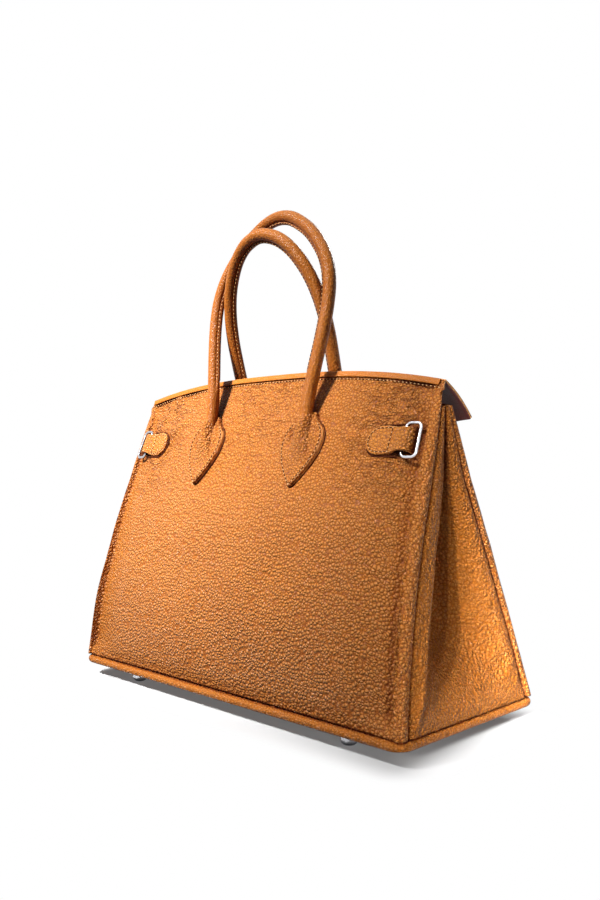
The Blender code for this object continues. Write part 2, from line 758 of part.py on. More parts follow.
def body_pieces():
    slots = {side: strap_slot_cutter(side) for side in (-1.0, 1.0)}
    back = sheet("back_panel", panel_rows(BACK), LEATHER, TAN)
    front = sheet("front_panel", panel_rows(FRONT), LEATHER, TAN)
    back_lining = sheet("back_lining", lining_rows(BACK), LINING, MAROON, LINING_SINK)
    front_lining = sheet("front_lining", lining_rows(FRONT), LINING, MAROON, LINING_SINK)
    for piece in (back, front, back_lining, front_lining):
        for side in (-1.0, 1.0):
            combine(piece, slots[side])
    for side, name in ((1.0, "right"), (-1.0, "left")):
        rows = gusset_rows() if side > 0.0 else mirrored(gusset_rows())
        lining = gusset_lining_rows() if side > 0.0 else mirrored(gusset_lining_rows())
        gusset = sheet("gusset_" + name, rows, LEATHER, TAN)
        gusset_lining = sheet("gusset_lining_" + name, lining, LINING, MAROON, GUSSET_LINING_SINK)
        combine(gusset, slots[side])
        combine(gusset_lining, slots[side])
    for piece in (front, front_lining):
        combine(piece, lock_hole_cutter())
    edge_binding("back_edge_binding", BACK)
    edge_binding("front_edge_binding", FRONT)
    pocket()


def edge_binding(name, form):
    """A narrow strip stitched along the outside of a panel's top edge."""
    rows = []
    for drop in (BINDING_HEIGHT, 0.0):
        share = 1.0 - drop / form.height
        half = half_width(form.height) - roll_radii(GUSSET_HEIGHT)[0] - LINING_MARGIN
        row = [form.lifted(c * half, share, GAP + BINDING_THICKNESS) for c in COLUMN_SHARES]
        rows.append(row if form.side < 0.0 else row[::-1])
    sheet(name, rows, BINDING_THICKNESS, TAN)


def pocket():
    """A patch pocket on the back lining, sewn on three sides."""
    heights = panel_heights(BACK)[POCKET_ROWS[0]:POCKET_ROWS[1]]
    rows = [panel_row(BACK, height)[POCKET_COLUMNS[0]:POCKET_COLUMNS[1]] for height in heights]
    sheet("inner_pocket", rows, LINING, MAROON, LINING_SINK + LINING + GAP)


# Handles and their tabs

class HandleForm:
    """One handle: its panel, hinge points, path and names."""

    def __init__(self, name, form, hinge_level, apex_level, reach, half, shares):
        self.name = name
        self.form = form
        self.hinge_level = hinge_level
        self.shares = shares
        self.half = half
        root_x = shares[0][0] * half
        self.hinge = form.lifted_at(root_x, hinge_level, TUBE_RADIUS + GAP)
        self.rise = apex_level - self.hinge.z
        self.reach = -form.side * reach

    def path(self, count):
        right = []
        for across, up in self.shares:
            right.append(Vector((across * self.half, self.hinge.y + up * self.reach,
                                 self.hinge.z + up * self.rise)))
        left = [Vector((-p.x, p.y, p.z)) for p in reversed(right[:-1])]
        return smooth_through(right + left, count)


BACK_HANDLE = HandleForm(
    "back_handle", BACK, BACK_HINGE_LEVEL, BACK_APEX_LEVEL, BACK_HANDLE_REACH,
    BACK_HANDLE_HALF_WIDTH, BACK_HANDLE_SHARES)
FRONT_HANDLE = HandleForm(
    "front_handle", FRONT, FRONT_HINGE_LEVEL, FRONT_APEX_LEVEL, FRONT_HANDLE_REACH,
    FRONT_HANDLE_HALF_WIDTH, FRONT_HANDLE_SHARES)


def handle_tube(handle):
    """The rolled leather: a hollow tube that is open at both hinges."""
    data = wire_curve(handle.name, handle.path(37), TUBE_RADIUS, 2, False, False)
    tube = add_object(handle.name, mesh_from_curve(handle.name, data), TAN)
    wall = tube.modifiers.new("wall", "SOLIDIFY")
    wall.thickness = TUBE_WALL
    wall.offset = -1.0
    shade(tube)
    hang_at(tube, Vector((0.0, handle.hinge.y, handle.hinge.z)))


def handle_core(handle):
    """The rope inside the tube, a little short of each hinge."""
    points = handle.path(29)
    first = points[0].lerp(points[1], CORE_SHORT / (points[1] - points[0]).length)
    last = points[-1].lerp(points[-2], CORE_SHORT / (points[-2] - points[-1]).length)
    name = handle.name + "_core"
    data = wire_curve(name, [first] + points[1:-1] + [last], CORE_RADIUS, 1, False, True)
    core = add_object(name, data, ROPE)
    hang_at(core, Vector((0.0, handle.hinge.y, handle.hinge.z)))


def tab_height(across, up):
    """Thickness of a tab at a place: a flat sewn margin with the tube's end fading into it."""
    rise_share = max(0.0, min(1.0, (up - TAB_FADE_SHARE) / (1.0 - TAB_FADE_SHARE)))
    rise = rise_share * rise_share * (3.0 - 2.0 * rise_share)
    spread = TUBE_RADIUS * (1.0 + 1.4 * (1.0 - rise_share))
    inside = max(0.0, 1.0 - (across / spread) ** 2)
    return TAB_THICKNESS + (2.0 * TUBE_RADIUS - TAB_THICKNESS) * rise * math.sqrt(inside)


def handle_tab(handle, side, socket):
    """An almond of leather sewn to the panel, hollowed at the top for the tube's round end."""
    form = handle.form
    tip = handle.hinge_level - TAB_TOP_DROP - TAB_LENGTH
    lower = []
    upper = []
    for up, width in TAB_OUTLINE_SHARES:
        level = tip + up * TAB_LENGTH
        low = []
        top = []
        for column in TAB_COLUMN_SHARES:
            across = column * width * TAB_HALF_WIDTH
            x = side * HANDLE_SPREAD + across
            low.append(form.lifted_at(x, level, GAP))
            top.append(form.lifted_at(x, level, GAP + tab_height(across, up)))
        lower.append(low if form.side < 0.0 else low[::-1])
        upper.append(top if form.side < 0.0 else top[::-1])
    side_name = "left" if side < 0.0 else "right"
    tab = loft(handle.name + "_tab_" + side_name, lower, upper, TAN)
    combine(tab, socket)


def socket_cutter(handle, side):
    """The ball that a tube's end sweeps, with its clearance."""
    name = handle.name + ("_socket_left" if side < 0.0 else "_socket_right")
    bm = bmesh.new()
    bmesh.ops.create_uvsphere(bm, u_segments=14, v_segments=9, radius=TUBE_RADIUS + GAP)
    mesh = bpy.data.meshes.new(name)
    bm.to_mesh(mesh)
    bm.free()
    place = Matrix.Translation((side * handle.hinge.x, handle.hinge.y, handle.hinge.z))
    return cutter(name, mesh, place)


def handle_pieces():
    for handle in (BACK_HANDLE, FRONT_HANDLE):
        handle_tube(handle)
        handle_core(handle)
        for side in (-1.0, 1.0):
            handle_tab(handle, side, socket_cutter(handle, side))


# Flap

FLAP_ROOT_SINK = LEATHER * math.sin(FLAP_ROOT_ANGLE)
FLAP_AXIS = BACK.point(0.0, 1.0) + Vector((0.0, LEATHER + GAP + FLAP_ROOT_SINK, GAP))


def flap_profile(length):
    """Forward reach and drop of the flap at a length from its fold."""
    bend = (FLAP_TIP_ANGLE - FLAP_ROOT_ANGLE) / FLAP_MIDDLE_LENGTH
    forward = (math.sin(FLAP_ROOT_ANGLE + bend * length) - math.sin(FLAP_ROOT_ANGLE)) / bend
    drop = (math.cos(FLAP_ROOT_ANGLE) - math.cos(FLAP_ROOT_ANGLE + bend * length)) / bend
    return forward, drop


def flap_point(x, length):
    forward, drop = flap_profile(length)
    taper = 1.0 - (1.0 - FLAP_TAPER_SHARE) * length / FLAP_MIDDLE_LENGTH
    top = BACK.point(x, 1.0).z + GAP
    return Vector((x * taper, FLAP_AXIS.y + forward, top - drop))


def flap_length(x):
    """Length of the flap from its fold to its lower edge, by distance from the middle."""
    half = half_width(BACK_HEIGHT)
    away = abs(x)
    if away <= FLAP_NOTCH_INNER:
        near = max(0.0, away - (FLAP_NOTCH_INNER - FLAP_CORNER))
        return FLAP_MIDDLE_LENGTH - FLAP_CORNER + math.sqrt(max(0.0, FLAP_CORNER ** 2 - near ** 2))
    if away >= FLAP_NOTCH_OUTER:
        share = (away - FLAP_NOTCH_OUTER) / (half - FLAP_NOTCH_OUTER)
        length = FLAP_SIDE_LENGTH + (FLAP_END_LENGTH - FLAP_SIDE_LENGTH) * share
        near = max(0.0, FLAP_NOTCH_OUTER + FLAP_CORNER - away)
        return length - FLAP_CORNER + math.sqrt(max(0.0, FLAP_CORNER ** 2 - near ** 2))
    return FLAP_NOTCH_DEPTH


def flap_columns():
    """Places across the flap, and whether each is at a notch's two sides."""
    half = half_width(BACK_HEIGHT) - LINING_MARGIN
    lobe = [FLAP_NOTCH_INNER * share for share in FLAP_LOBE_SHARES]
    wing = [FLAP_NOTCH_OUTER + (half - FLAP_NOTCH_OUTER) * share for share in FLAP_WING_SHARES]
    right = lobe + wing
    return [-x for x in reversed(right[1:])] + right


def flap_row(columns, share):
    row = []
    for x in columns:
        free = max(0.0, flap_length(x) - FLAP_NOTCH_DEPTH)
        row.append(flap_point(x, FLAP_NOTCH_DEPTH + share * free))
    return row[::-1]


def flap_leather():
    """The leather: a narrow band along the fold with three lobes hanging from it."""
    columns = flap_columns()
    rows = [flap_row(columns, share) for share in FLAP_ROW_SHARES[::-1]]
    rows.append([flap_point(x, 0.0) for x in columns[::-1]])
    band = len(rows) - 2

    def keep_cell(r, c):
        middle = abs(rows[-1][c].x + rows[-1][c + 1].x) / 2.0
        return r == band or not FLAP_NOTCH_INNER < middle < FLAP_NOTCH_OUTER

    return sheet("flap", rows, LEATHER, TAN, 0.0, keep_cell)


def flap_lining(name, low, high):
    """The lining of one lobe, between two places across the flap."""
    columns = [x for x in flap_columns() if low - GAP < x < high + GAP]
    rows = [flap_row(columns, share) for share in FLAP_ROW_SHARES[::-1]]
    lining = sheet(name, rows, LINING, MAROON, LINING_SINK)
    return lining


def flap_frame():
    """The plane of the slot plate on the middle lobe."""
    place = FLAP_MIDDLE_LENGTH - FLAP_PLATE_SETBACK
    step = PROBE_SHARE * FLAP_MIDDLE_LENGTH
    run = (flap_point(0.0, place + step) - flap_point(0.0, place - step)).normalized()
    normal = run.cross(Vector((-1.0, 0.0, 0.0))).normalized()
    return frame_matrix(flap_point(0.0, place), normal)


def flap_pieces():
    matrix = flap_frame()
    slot_mesh = plate_mesh(
        "flap_slot", FLAP_SLOT_WIDTH, FLAP_SLOT_HEIGHT, 4.0 * CUT_OVERRUN,
        FLAP_SLOT_HEIGHT / 2.0 - GAP, 4)
    slot = cutter("flap_slot", slot_mesh, matrix @ Matrix.Translation((0.0, 0.0, -2.0 * CUT_OVERRUN)))
    flap = flap_leather()
    half = half_width(BACK_HEIGHT)
    middle = flap_lining("flap_lining_middle", -FLAP_NOTCH_INNER, FLAP_NOTCH_INNER)
    left = flap_lining("flap_lining_left", -half, -FLAP_NOTCH_OUTER)
    right = flap_lining("flap_lining_right", FLAP_NOTCH_OUTER, half)
    plate = add_object(
        "flap_plate",
        plate_mesh("flap_plate", FLAP_PLATE_WIDTH, FLAP_PLATE_HEIGHT, PLATE_THICKNESS, PLATE_CORNER),
        STEEL)
    plate.matrix_world = matrix @ Matrix.Translation((0.0, 0.0, GAP))
    for piece in (flap, middle, plate):
        combine(piece, slot)
    for piece in (flap, middle, left, right):
        hang_at(piece, FLAP_AXIS)


# Side rings and straps

RING_X = STRAP_SINK_X - GAP
RING_LIFT = RING_WIRE_RADIUS + GAP
RING_BAR_X = RING_X - RING_WIDTH / 2.0 + RING_WIRE_RADIUS
STRAP_REST = GAP + STRAP_THICKNESS / 2.0
STRAP_OVER_BAR = RING_LIFT + RING_WIRE_RADIUS + 2.0 * GAP + STRAP_THICKNESS / 2.0


def ring_frame(side):
    share = BACK.share_at(side * RING_X, STRAP_LEVEL)
    normal = BACK.normal(side * RING_X, share)
    return frame_matrix(BACK.lifted(side * RING_X, share, RING_LIFT), normal)


def ring_piece(side):
    """A bent wire ring, closed, lying flat on the back with its inner bar under the strap."""
    name = "ring_left" if side < 0.0 else "ring_right"
    outline = rounded_outline(
        RING_WIDTH - 2.0 * RING_WIRE_RADIUS, RING_HEIGHT - 2.0 * RING_WIRE_RADIUS, RING_CORNER, 3)
    matrix = ring_frame(side)
    points = [matrix @ Vector((x, y, 0.0)) for x, y in outline]
    data = wire_curve(name, points, RING_WIRE_RADIUS, 1, True, False)
    ring = add_object(name, data, STEEL)
    bar = matrix @ Vector((-side * (RING_WIDTH / 2.0 - RING_WIRE_RADIUS), 0.0, 0.0))
    hang_at(ring, bar)


def strap_level(x):
    """The strap's middle falls slightly from the slot to the lock, on the front."""
    share = max(0.0, min(1.0, abs(x) / STRAP_SINK_X))
    return LOCK_LEVEL + (STRAP_FRONT_LEVEL - LOCK_LEVEL) * share


def strap_path(end_rise):
    """Path of the strap's middle: x, lift off the panel and panel, from sewn end to lock."""
    end_radius = STRAP_WIDTH / 2.0
    over = STRAP_OVER_BAR
    rest = STRAP_REST
    drop = STRAP_SINK_X - RING_BAR_X
    back = []
    for share in (0.05, 0.25, 0.6, 1.0):
        back.append((STRAP_END_X + share * end_radius, rest))
    foot = RING_BAR_X - 2.2 * over
    back.append(((STRAP_END_X + end_radius + foot) / 2.0, rest))
    back.append((foot, rest))
    for share, lift_share in ((0.35, 0.3), (0.66, 0.78), (1.0, 1.0)):
        back.append((foot + share * (RING_BAR_X - foot), rest + lift_share * (over - rest)))
    for turn in (30.0, 60.0, 85.0):
        angle = math.radians(turn)
        back.append((RING_BAR_X + drop * math.sin(angle), over - drop * (1.0 - math.cos(angle))))
    back.append((STRAP_SINK_X, -STRAP_THICKNESS))
    front = [(STRAP_SINK_X, -STRAP_THICKNESS)]
    bend = 2.0 * STRAP_THICKNESS
    for turn in (10.0, 40.0, 70.0, 100.0):
        angle = math.radians(turn)
        front.append((STRAP_SINK_X - bend * (1.0 - math.cos(angle)),
                      rest / 2.0 - bend / 2.0 + bend * math.sin(angle)))
    tab_out = HANDLE_SPREAD + TAB_HALF_WIDTH
    tab_in = HANDLE_SPREAD - TAB_HALF_WIDTH
    over_tab = rest + TAB_THICKNESS + TAB_OVER
    ramp = STRAP_RAMP
    front.append((tab_out + 2.0 * ramp, rest))
    front.append((tab_out + ramp, rest))
    front.append((tab_out + ramp * 0.6, rest + (over_tab - rest) * 0.2))
    front.append((tab_out + ramp * 0.15, rest + (over_tab - rest) * 0.8))
    front.append((tab_out - ramp * 0.2, over_tab))
    front.append((HANDLE_SPREAD, over_tab + TAB_OVER / 2.0))
    front.append((tab_in + ramp * 0.2, over_tab))
    front.append((tab_in - ramp * 0.2, rest + (over_tab - rest) * 0.75))
    front.append((tab_in - ramp * 0.65, rest + end_rise + (over_tab - rest - end_rise) * 0.1))
    front.append((STRAP_PLATE_LENGTH - STRAP_PLATE_REACH + GAP, rest + end_rise))
    front.append((STRAP_PLATE_REACH + 2.0 * STRAP_THICKNESS, rest + end_rise))
    return back, front


def strap_piece(side, end_rise):
    """One side strap: sewn round end, over the ring's bar, through the walls, to the lock."""
    name = "strap_left" if side < 0.0 else "strap_right"
    back, front = strap_path(end_rise)
    half = STRAP_WIDTH / 2.0
    narrow = STRAP_FRONT_WIDTH / 2.0
    rows = []
    for step in (-1.0, 0.0, 1.0):
        row = []
        for x, lift in back:
            near = max(0.0, half - (x - STRAP_END_X))
            reach = math.sqrt(max(0.0, half * half - near * near))
            if x > RING_BAR_X - STRAP_RAMP:
                reach = narrow
            row.append(BACK.lifted_at(side * x, STRAP_LEVEL + step * reach, lift))
        for x, lift in front:
            row.append(FRONT.lifted_at(side * x, strap_level(x) + step * narrow, lift))
        rows.append(row if side > 0.0 else row[::-1])
    return sheet(name, rows, STRAP_THICKNESS, TAN, 0.0, None, 0.0)


# Turnlock and strap plates

def lock_frame():
    share = FRONT.share_at(0.0, LOCK_LEVEL)
    return frame_matrix(FRONT.point(0.0, share), FRONT.normal(0.0, share))


def lock_hole_cutter():
    places = [(-LOCK_PIN_SPREAD, 0.0), (LOCK_PIN_SPREAD, 0.0)]
    mesh = cylinder_mesh(
        "lock_pin_holes", places, LOCK_PIN_RADIUS + GAP, -CUT_OVERRUN, CUT_OVERRUN, 8)
    return cutter("lock_pin_holes", mesh, lock_frame())


def lock_pieces():
    matrix = lock_frame()
    wall = LEATHER + GAP + LINING
    places = [(-LOCK_PIN_SPREAD, 0.0), (LOCK_PIN_SPREAD, 0.0)]
    base = add_object(
        "turnlock_base",
        plate_mesh("turnlock_base", LOCK_BASE_WIDTH, LOCK_BASE_HEIGHT, LOCK_BASE_THICKNESS,
                   LOCK_BASE_HEIGHT / 2.0 - GAP, 6), STEEL)
    base.matrix_world = matrix @ Matrix.Translation((0.0, 0.0, GAP))
    bore = cylinder_mesh("lock_bore", [(0.0, 0.0)], LOCK_BORE_RADIUS, -CUT_OVERRUN, CUT_OVERRUN, 16)
    combine(base, cutter("lock_bore", bore, matrix))
    pin_low = -wall - GAP - LOCK_BASE_THICKNESS
    pins = cylinder_mesh("lock_pins", places, LOCK_PIN_RADIUS, pin_low, 2.0 * GAP, 8)
    combine(base, cutter("lock_pins", pins, matrix), "UNION")
    washer = add_object(
        "turnlock_washer",
        plate_mesh("turnlock_washer", LOCK_BASE_WIDTH, LOCK_BASE_HEIGHT, LOCK_BASE_THICKNESS,
                   LOCK_BASE_HEIGHT / 2.0 - GAP, 6), STEEL)
    washer.matrix_world = matrix @ Matrix.Translation((0.0, 0.0, -wall - GAP - LOCK_BASE_THICKNESS))
    combine(washer, lock_washer_cutter(places, matrix))
    toggle_piece(matrix)
    for side, name in ((-1.0, "left"), (1.0, "right")):
        strap_plate(name, side, matrix)


def lock_washer_cutter(places, matrix):
    mesh = cylinder_mesh(
        "lock_washer_holes", places, LOCK_PIN_RADIUS + GAP, -2.0 * CUT_OVERRUN, 0.0, 8)
    return cutter("lock_washer_holes", mesh, matrix)


def plate_lift(side):
    """Height of a strap plate over the panel: the right one lies on the left one."""
    first = 2.0 * GAP + STRAP_THICKNESS
    return first if side < 0.0 else first + PLATE_THICKNESS + GAP


def toggle_piece(matrix):
    """The turning knob: a stem through both strap plates with an oblong head across their slots."""
    head_low = plate_lift(1.0) + PLATE_THICKNESS + GAP
    head_high = head_low + TOGGLE_THICKNESS
    head_mesh = plate_mesh(
        "turnlock_knob", TOGGLE_LENGTH, TOGGLE_WIDTH, TOGGLE_THICKNESS, TOGGLE_WIDTH / 2.0 - GAP, 5)
    head_mesh.transform(Matrix.Translation((0.0, 0.0, head_low)))
    knob = add_object("turnlock_knob", head_mesh, STEEL)
    knob.matrix_world = matrix @ Matrix.Rotation(math.pi / 2.0, 4, "Z")
    soften = knob.modifiers.new("soften", "BEVEL")
    soften.width = TOGGLE_THICKNESS / 5.0
    soften.segments = 2
    soften.limit_method = "ANGLE"
    stem = cylinder_mesh(
        "lock_stem", [(0.0, 0.0)], LOCK_STEM_RADIUS, GAP, (head_low + head_high) / 2.0, 14)
    combine(knob, cutter("lock_stem", stem, matrix), "UNION")
    shade(knob)


def strap_plate(name, side, matrix):
    """A slotted metal end, riveted over the strap's tip."""
    plate = add_object(
        "strap_plate_" + name,
        plate_mesh("strap_plate_" + name, STRAP_PLATE_LENGTH, STRAP_PLATE_HEIGHT, PLATE_THICKNESS,
                   PLATE_CORNER), STEEL)
    shift = side * (STRAP_PLATE_LENGTH / 2.0 - STRAP_PLATE_REACH)
    plate.matrix_world = matrix @ Matrix.Translation((-shift, 0.0, plate_lift(side)))
    slot = plate_mesh(
        "plate_slot_" + name, STRAP_PLATE_SLOT_WIDTH, STRAP_PLATE_SLOT_HEIGHT, 4.0 * CUT_OVERRUN,
        STRAP_PLATE_SLOT_HEIGHT / 2.0 - GAP, 4)
    combine(plate, cutter("plate_slot_" + name, slot, matrix))


def side_pieces():
    for side in (-1.0, 1.0):
        ring_piece(side)
        strap_piece(side, 0.0 if side < 0.0 else PLATE_THICKNESS + GAP)


base_pieces()
foot_pieces()
body_pieces()
handle_pieces()
flap_pieces()
side_pieces()
lock_pieces()
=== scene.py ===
import math

import bmesh
import bpy
import numpy as np
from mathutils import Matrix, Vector, noise


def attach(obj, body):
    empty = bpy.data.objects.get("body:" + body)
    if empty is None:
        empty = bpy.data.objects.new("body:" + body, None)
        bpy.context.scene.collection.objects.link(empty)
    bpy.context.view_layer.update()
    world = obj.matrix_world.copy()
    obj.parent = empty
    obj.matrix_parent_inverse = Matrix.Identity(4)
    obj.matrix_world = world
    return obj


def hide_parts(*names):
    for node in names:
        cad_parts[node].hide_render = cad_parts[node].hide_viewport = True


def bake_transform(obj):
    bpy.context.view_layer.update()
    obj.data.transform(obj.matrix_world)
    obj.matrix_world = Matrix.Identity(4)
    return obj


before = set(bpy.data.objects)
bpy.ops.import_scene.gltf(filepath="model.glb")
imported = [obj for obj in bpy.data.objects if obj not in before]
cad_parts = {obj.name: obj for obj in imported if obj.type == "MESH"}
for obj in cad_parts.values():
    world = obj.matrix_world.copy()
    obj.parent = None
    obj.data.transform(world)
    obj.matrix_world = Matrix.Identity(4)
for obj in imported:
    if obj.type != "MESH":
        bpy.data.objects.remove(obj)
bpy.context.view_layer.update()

# The studio: a white sweep, a gridded key lamp high beyond the camera's left shoulder, narrow strips that
# graze the gusset, and fills at the end, overhead and in front. The camera stands at one end of the back.

CAMERA_PLACE = (0.5022, -0.4927, 0.1882)
CAMERA_TURN = math.radians(44.77)
CAMERA_RISE = math.radians(-0.56)
CAMERA_FOCUS = 35.05
FILM_HEIGHT = 36.0
NEAREST_SEEN = 0.01
BAG_MIDDLE = (0.0, 0.0, 0.15)


def bearing(turn, rise):
    """The way out from the bag: turn is from the back's normal towards the photographed end."""
    return Vector((math.sin(turn) * math.cos(rise), -math.cos(turn) * math.cos(rise), math.sin(rise)))


def stand(name, data, place, way):
    """A camera or lamp at its place, facing back along its way out."""
    stood = bpy.data.objects.new(name, data)
    bpy.context.scene.collection.objects.link(stood)
    stood.location = place
    stood.rotation_euler = way.to_track_quat("Z", "Y").to_euler()
    return stood


camera_data = bpy.data.cameras.new("camera")
camera_data.sensor_fit = "VERTICAL"
camera_data.sensor_height = FILM_HEIGHT
camera_data.lens = CAMERA_FOCUS
camera_data.clip_start = NEAREST_SEEN
bpy.context.scene.camera = stand("camera", camera_data, CAMERA_PLACE, bearing(CAMERA_TURN, CAMERA_RISE))
bpy.context.scene.view_settings.view_transform = "Standard"


def lamp(name, turn, rise, distance, width, height, power, aim=BAG_MIDDLE, spread=180.0):
    """A rectangular lamp round the bag, its angles in degrees. A small spread is a grid that keeps the
    light on what the lamp aims at."""
    data = bpy.data.lights.new(name, "AREA")
    data.shape = "RECTANGLE"
    data.size, data.size_y = width, height
    data.energy = power
    data.spread = math.radians(spread)
    way = bearing(math.radians(turn), math.radians(rise))
    stand(name, data, way * distance + Vector(aim), way)


lamp("key", turn=-10.0, rise=45.0, distance=1.6, width=0.24, height=0.24, power=1.62,
     aim=(-0.100, -0.04, 0.210), spread=22.8)
lamp("gusset_grid", turn=12.0, rise=20.0, distance=1.1, width=0.06, height=0.34, power=1.5,
     aim=(0.262, 0.05, 0.122), spread=12.0)
lamp("gusset_soft", turn=20.0, rise=22.0, distance=1.1, width=0.06, height=0.34, power=1.1,
     aim=(0.262, 0.05, 0.130), spread=12.0)
lamp("edge_strip", turn=62.0, rise=12.0, distance=1.3, width=0.05, height=0.36, power=0.020,
     aim=(0.175, -0.06, 0.13), spread=5.0)
lamp("end_fill", turn=100.0, rise=14.0, distance=1.5, width=0.4, height=0.8, power=0.05)
lamp("overhead", turn=180.0, rise=62.0, distance=1.6, width=0.8, height=0.8, power=1.6)
lamp("front_fill", turn=200.0, rise=32.0, distance=1.7, width=0.3, height=0.3, power=11.0)


def feed(tree, node, inputs):
    """Gives each input of a node, by name or number, its value or the node or socket that drives it."""
    for label, value in inputs.items():
        socket = node.inputs[label]
        if isinstance(value, bpy.types.Node):
            value = value.outputs[0]
        if isinstance(value, bpy.types.NodeSocket):
            tree.links.new(value, socket)
        else:
            socket.default_value = (*value, 1.0) if socket.type == "RGBA" else value
    return node


def add_node(tree, kind, inputs, **settings):
    node = tree.nodes.new(kind)
    for setting, value in settings.items():
        setattr(node, setting, value)
    return feed(tree, node, inputs)


def seen_ray(tree):
    """A node that is 1 for rays that show the sweep itself: direct, in metal and through glass."""
    path = tree.nodes.new("ShaderNodeLightPath").outputs
    seen = add_node(tree, "ShaderNodeMath", {0: path["Is Camera Ray"], 1: path["Is Glossy Ray"]},
                    operation="MAXIMUM")
    return add_node(tree, "ShaderNodeMath", {0: seen, 1: path["Is Transmission Ray"]}, operation="MAXIMUM")


ROOM_LIGHT = 0.02
PAPER_GREY, UNSEEN_GREY = (0.72, 0.72, 0.72), (0.10, 0.10, 0.10)
PAPER_GLOW = 0.13
SHADOW_HALF_SIZE = (0.165, 0.068, 0.0)
SHADOW_FADE = 0.032
FLOOR_REACH = 4.0

world = bpy.data.worlds.new("white_room")
bpy.context.scene.world = world
world.use_nodes = True
sky = world.node_tree
sky.nodes.clear()
room_seen, room_light = (add_node(sky, "ShaderNodeBackground", {"Color": (1.0, 1.0, 1.0), "Strength": strength})
                         for strength in (1.0, ROOM_LIGHT))
room = add_node(sky, "ShaderNodeMixShader", {0: seen_ray(sky), 1: room_light, 2: room_seen})
add_node(sky, "ShaderNodeOutputWorld", {"Surface": room})

# Seen by the camera, the floor is grey paper with a little glow near the bag, which takes the contact
# shadow, and fades to plain white beyond. It lights the bag as a darker paper would.
floor_mesh = bpy.data.meshes.new("floor")
floor_mesh.from_pydata([(x * FLOOR_REACH, y * FLOOR_REACH, 0.0) for x, y in ((-1, -1), (1, -1), (1, 1), (-1, 1))],
                       [], [(0, 1, 2, 3)])
floor = bpy.data.objects.new("floor", floor_mesh)
bpy.context.scene.collection.objects.link(floor)
white = bpy.data.materials.new("white_sweep")
white.use_nodes = True
paper = white.node_tree
paper.nodes.clear()
away = paper.nodes.new("ShaderNodeTexCoord").outputs["Object"]
for kind, limit in (("ABSOLUTE", None), ("SUBTRACT", SHADOW_HALF_SIZE), ("MAXIMUM", (0.0, 0.0, 0.0)), ("LENGTH", None)):
    away = add_node(paper, "ShaderNodeVectorMath", {0: away, 1: limit} if limit else {0: away}, operation=kind)
fade = add_node(paper, "ShaderNodeMapRange", {0: away.outputs["Value"], 1: 0.0, 2: SHADOW_FADE},
                interpolation_type="SMOOTHSTEP")
near = add_node(paper, "ShaderNodeAddShader", {0: add_node(paper, "ShaderNodeBsdfDiffuse", {"Color": PAPER_GREY}),
                                               1: add_node(paper, "ShaderNodeEmission", {"Strength": PAPER_GLOW})})
seen = add_node(paper, "ShaderNodeMixShader",
                {0: fade, 1: near, 2: add_node(paper, "ShaderNodeEmission", {"Strength": 1.0})})
unseen = add_node(paper, "ShaderNodeBsdfDiffuse", {"Color": UNSEEN_GREY})
both = add_node(paper, "ShaderNodeMixShader", {0: seen_ray(paper), 1: unseen, 2: seen})
add_node(paper, "ShaderNodeOutputMaterial", {"Surface": both})
floor_mesh.materials.append(white)


# The base: a stiff board covered in the same leather, its edge rolled like a soft cord all round. The
# walls are sewn down into the groove above it, and four steel studs carry it off the table.

BASE_WIDTH, BASE_DEPTH = 0.350, 0.155
BASE_PROUD = 0.0015
BASE_LOW, BASE_HIGH = 0.0105, 0.0167
TAN = (0.53, 0.158, 0.012)
# TAN_DEEP is the darkest tone the grain wanders to. It is also the colour of painted shade in hollows, grain gaps,
# creases and on the handles' inner side.
TAN_DEEP = (0.10, 0.010, 0.002)
# TAN_PALE colours the painted cut edges. On the pebbles' crowns it gives grain tone and a painted highlight together.
TAN_PALE = (0.85, 0.42, 0.14)


def math_node(tree, kind, *values):
    return add_node(tree, "ShaderNodeMath", dict(enumerate(values)), operation=kind)


def mixed(tree, factor, first, second):
    return add_node(tree, "ShaderNodeMix", {0: factor, 6: first, 7: second}, data_type="RGBA").outputs[2]


def ramped(tree, value, low, high, out_low=0.0, out_high=1.0):
    return add_node(tree, "ShaderNodeMapRange", dict(enumerate((value, low, high, out_low, out_high))),
                    interpolation_type="SMOOTHSTEP")


def speckle(tree, place, scale, detail=2.0, distortion=0.0):
    return add_node(tree, "ShaderNodeTexNoise",
                    {"Vector": place, "Scale": scale, "Detail": detail, "Distortion": distortion})


def painted_hollow_shade(tree, reach, open_at, shut_at, most):
    """A node for painted shade: 0 in the open, growing to most in hollows of about that reach, as ambient occlusion
    finds them.
    """
    hollow = add_node(tree, "ShaderNodeAmbientOcclusion", {"Distance": reach}, samples=6)
    return ramped(tree, hollow.outputs["AO"], open_at, shut_at, 0.0, most)


def fresh_material(name):
    """A new material with its tree, its shader and the place on the piece."""
    material = bpy.data.materials.new(name)
    material.use_nodes = True
    tree = material.node_tree
    return material, tree, tree.nodes["Principled BSDF"], tree.nodes.new("ShaderNodeTexCoord").outputs["Object"]


def mottled(name, scale, first, second, rough, shine=0.5):
    """A plain finish that wanders between two shades."""
    material, tree, shader, place = fresh_material(name)
    feed(tree, shader, {"Base Color": mixed(tree, speckle(tree, place, scale), first, second),
                        "Roughness": rough, "Specular IOR Level": shine})
    return material


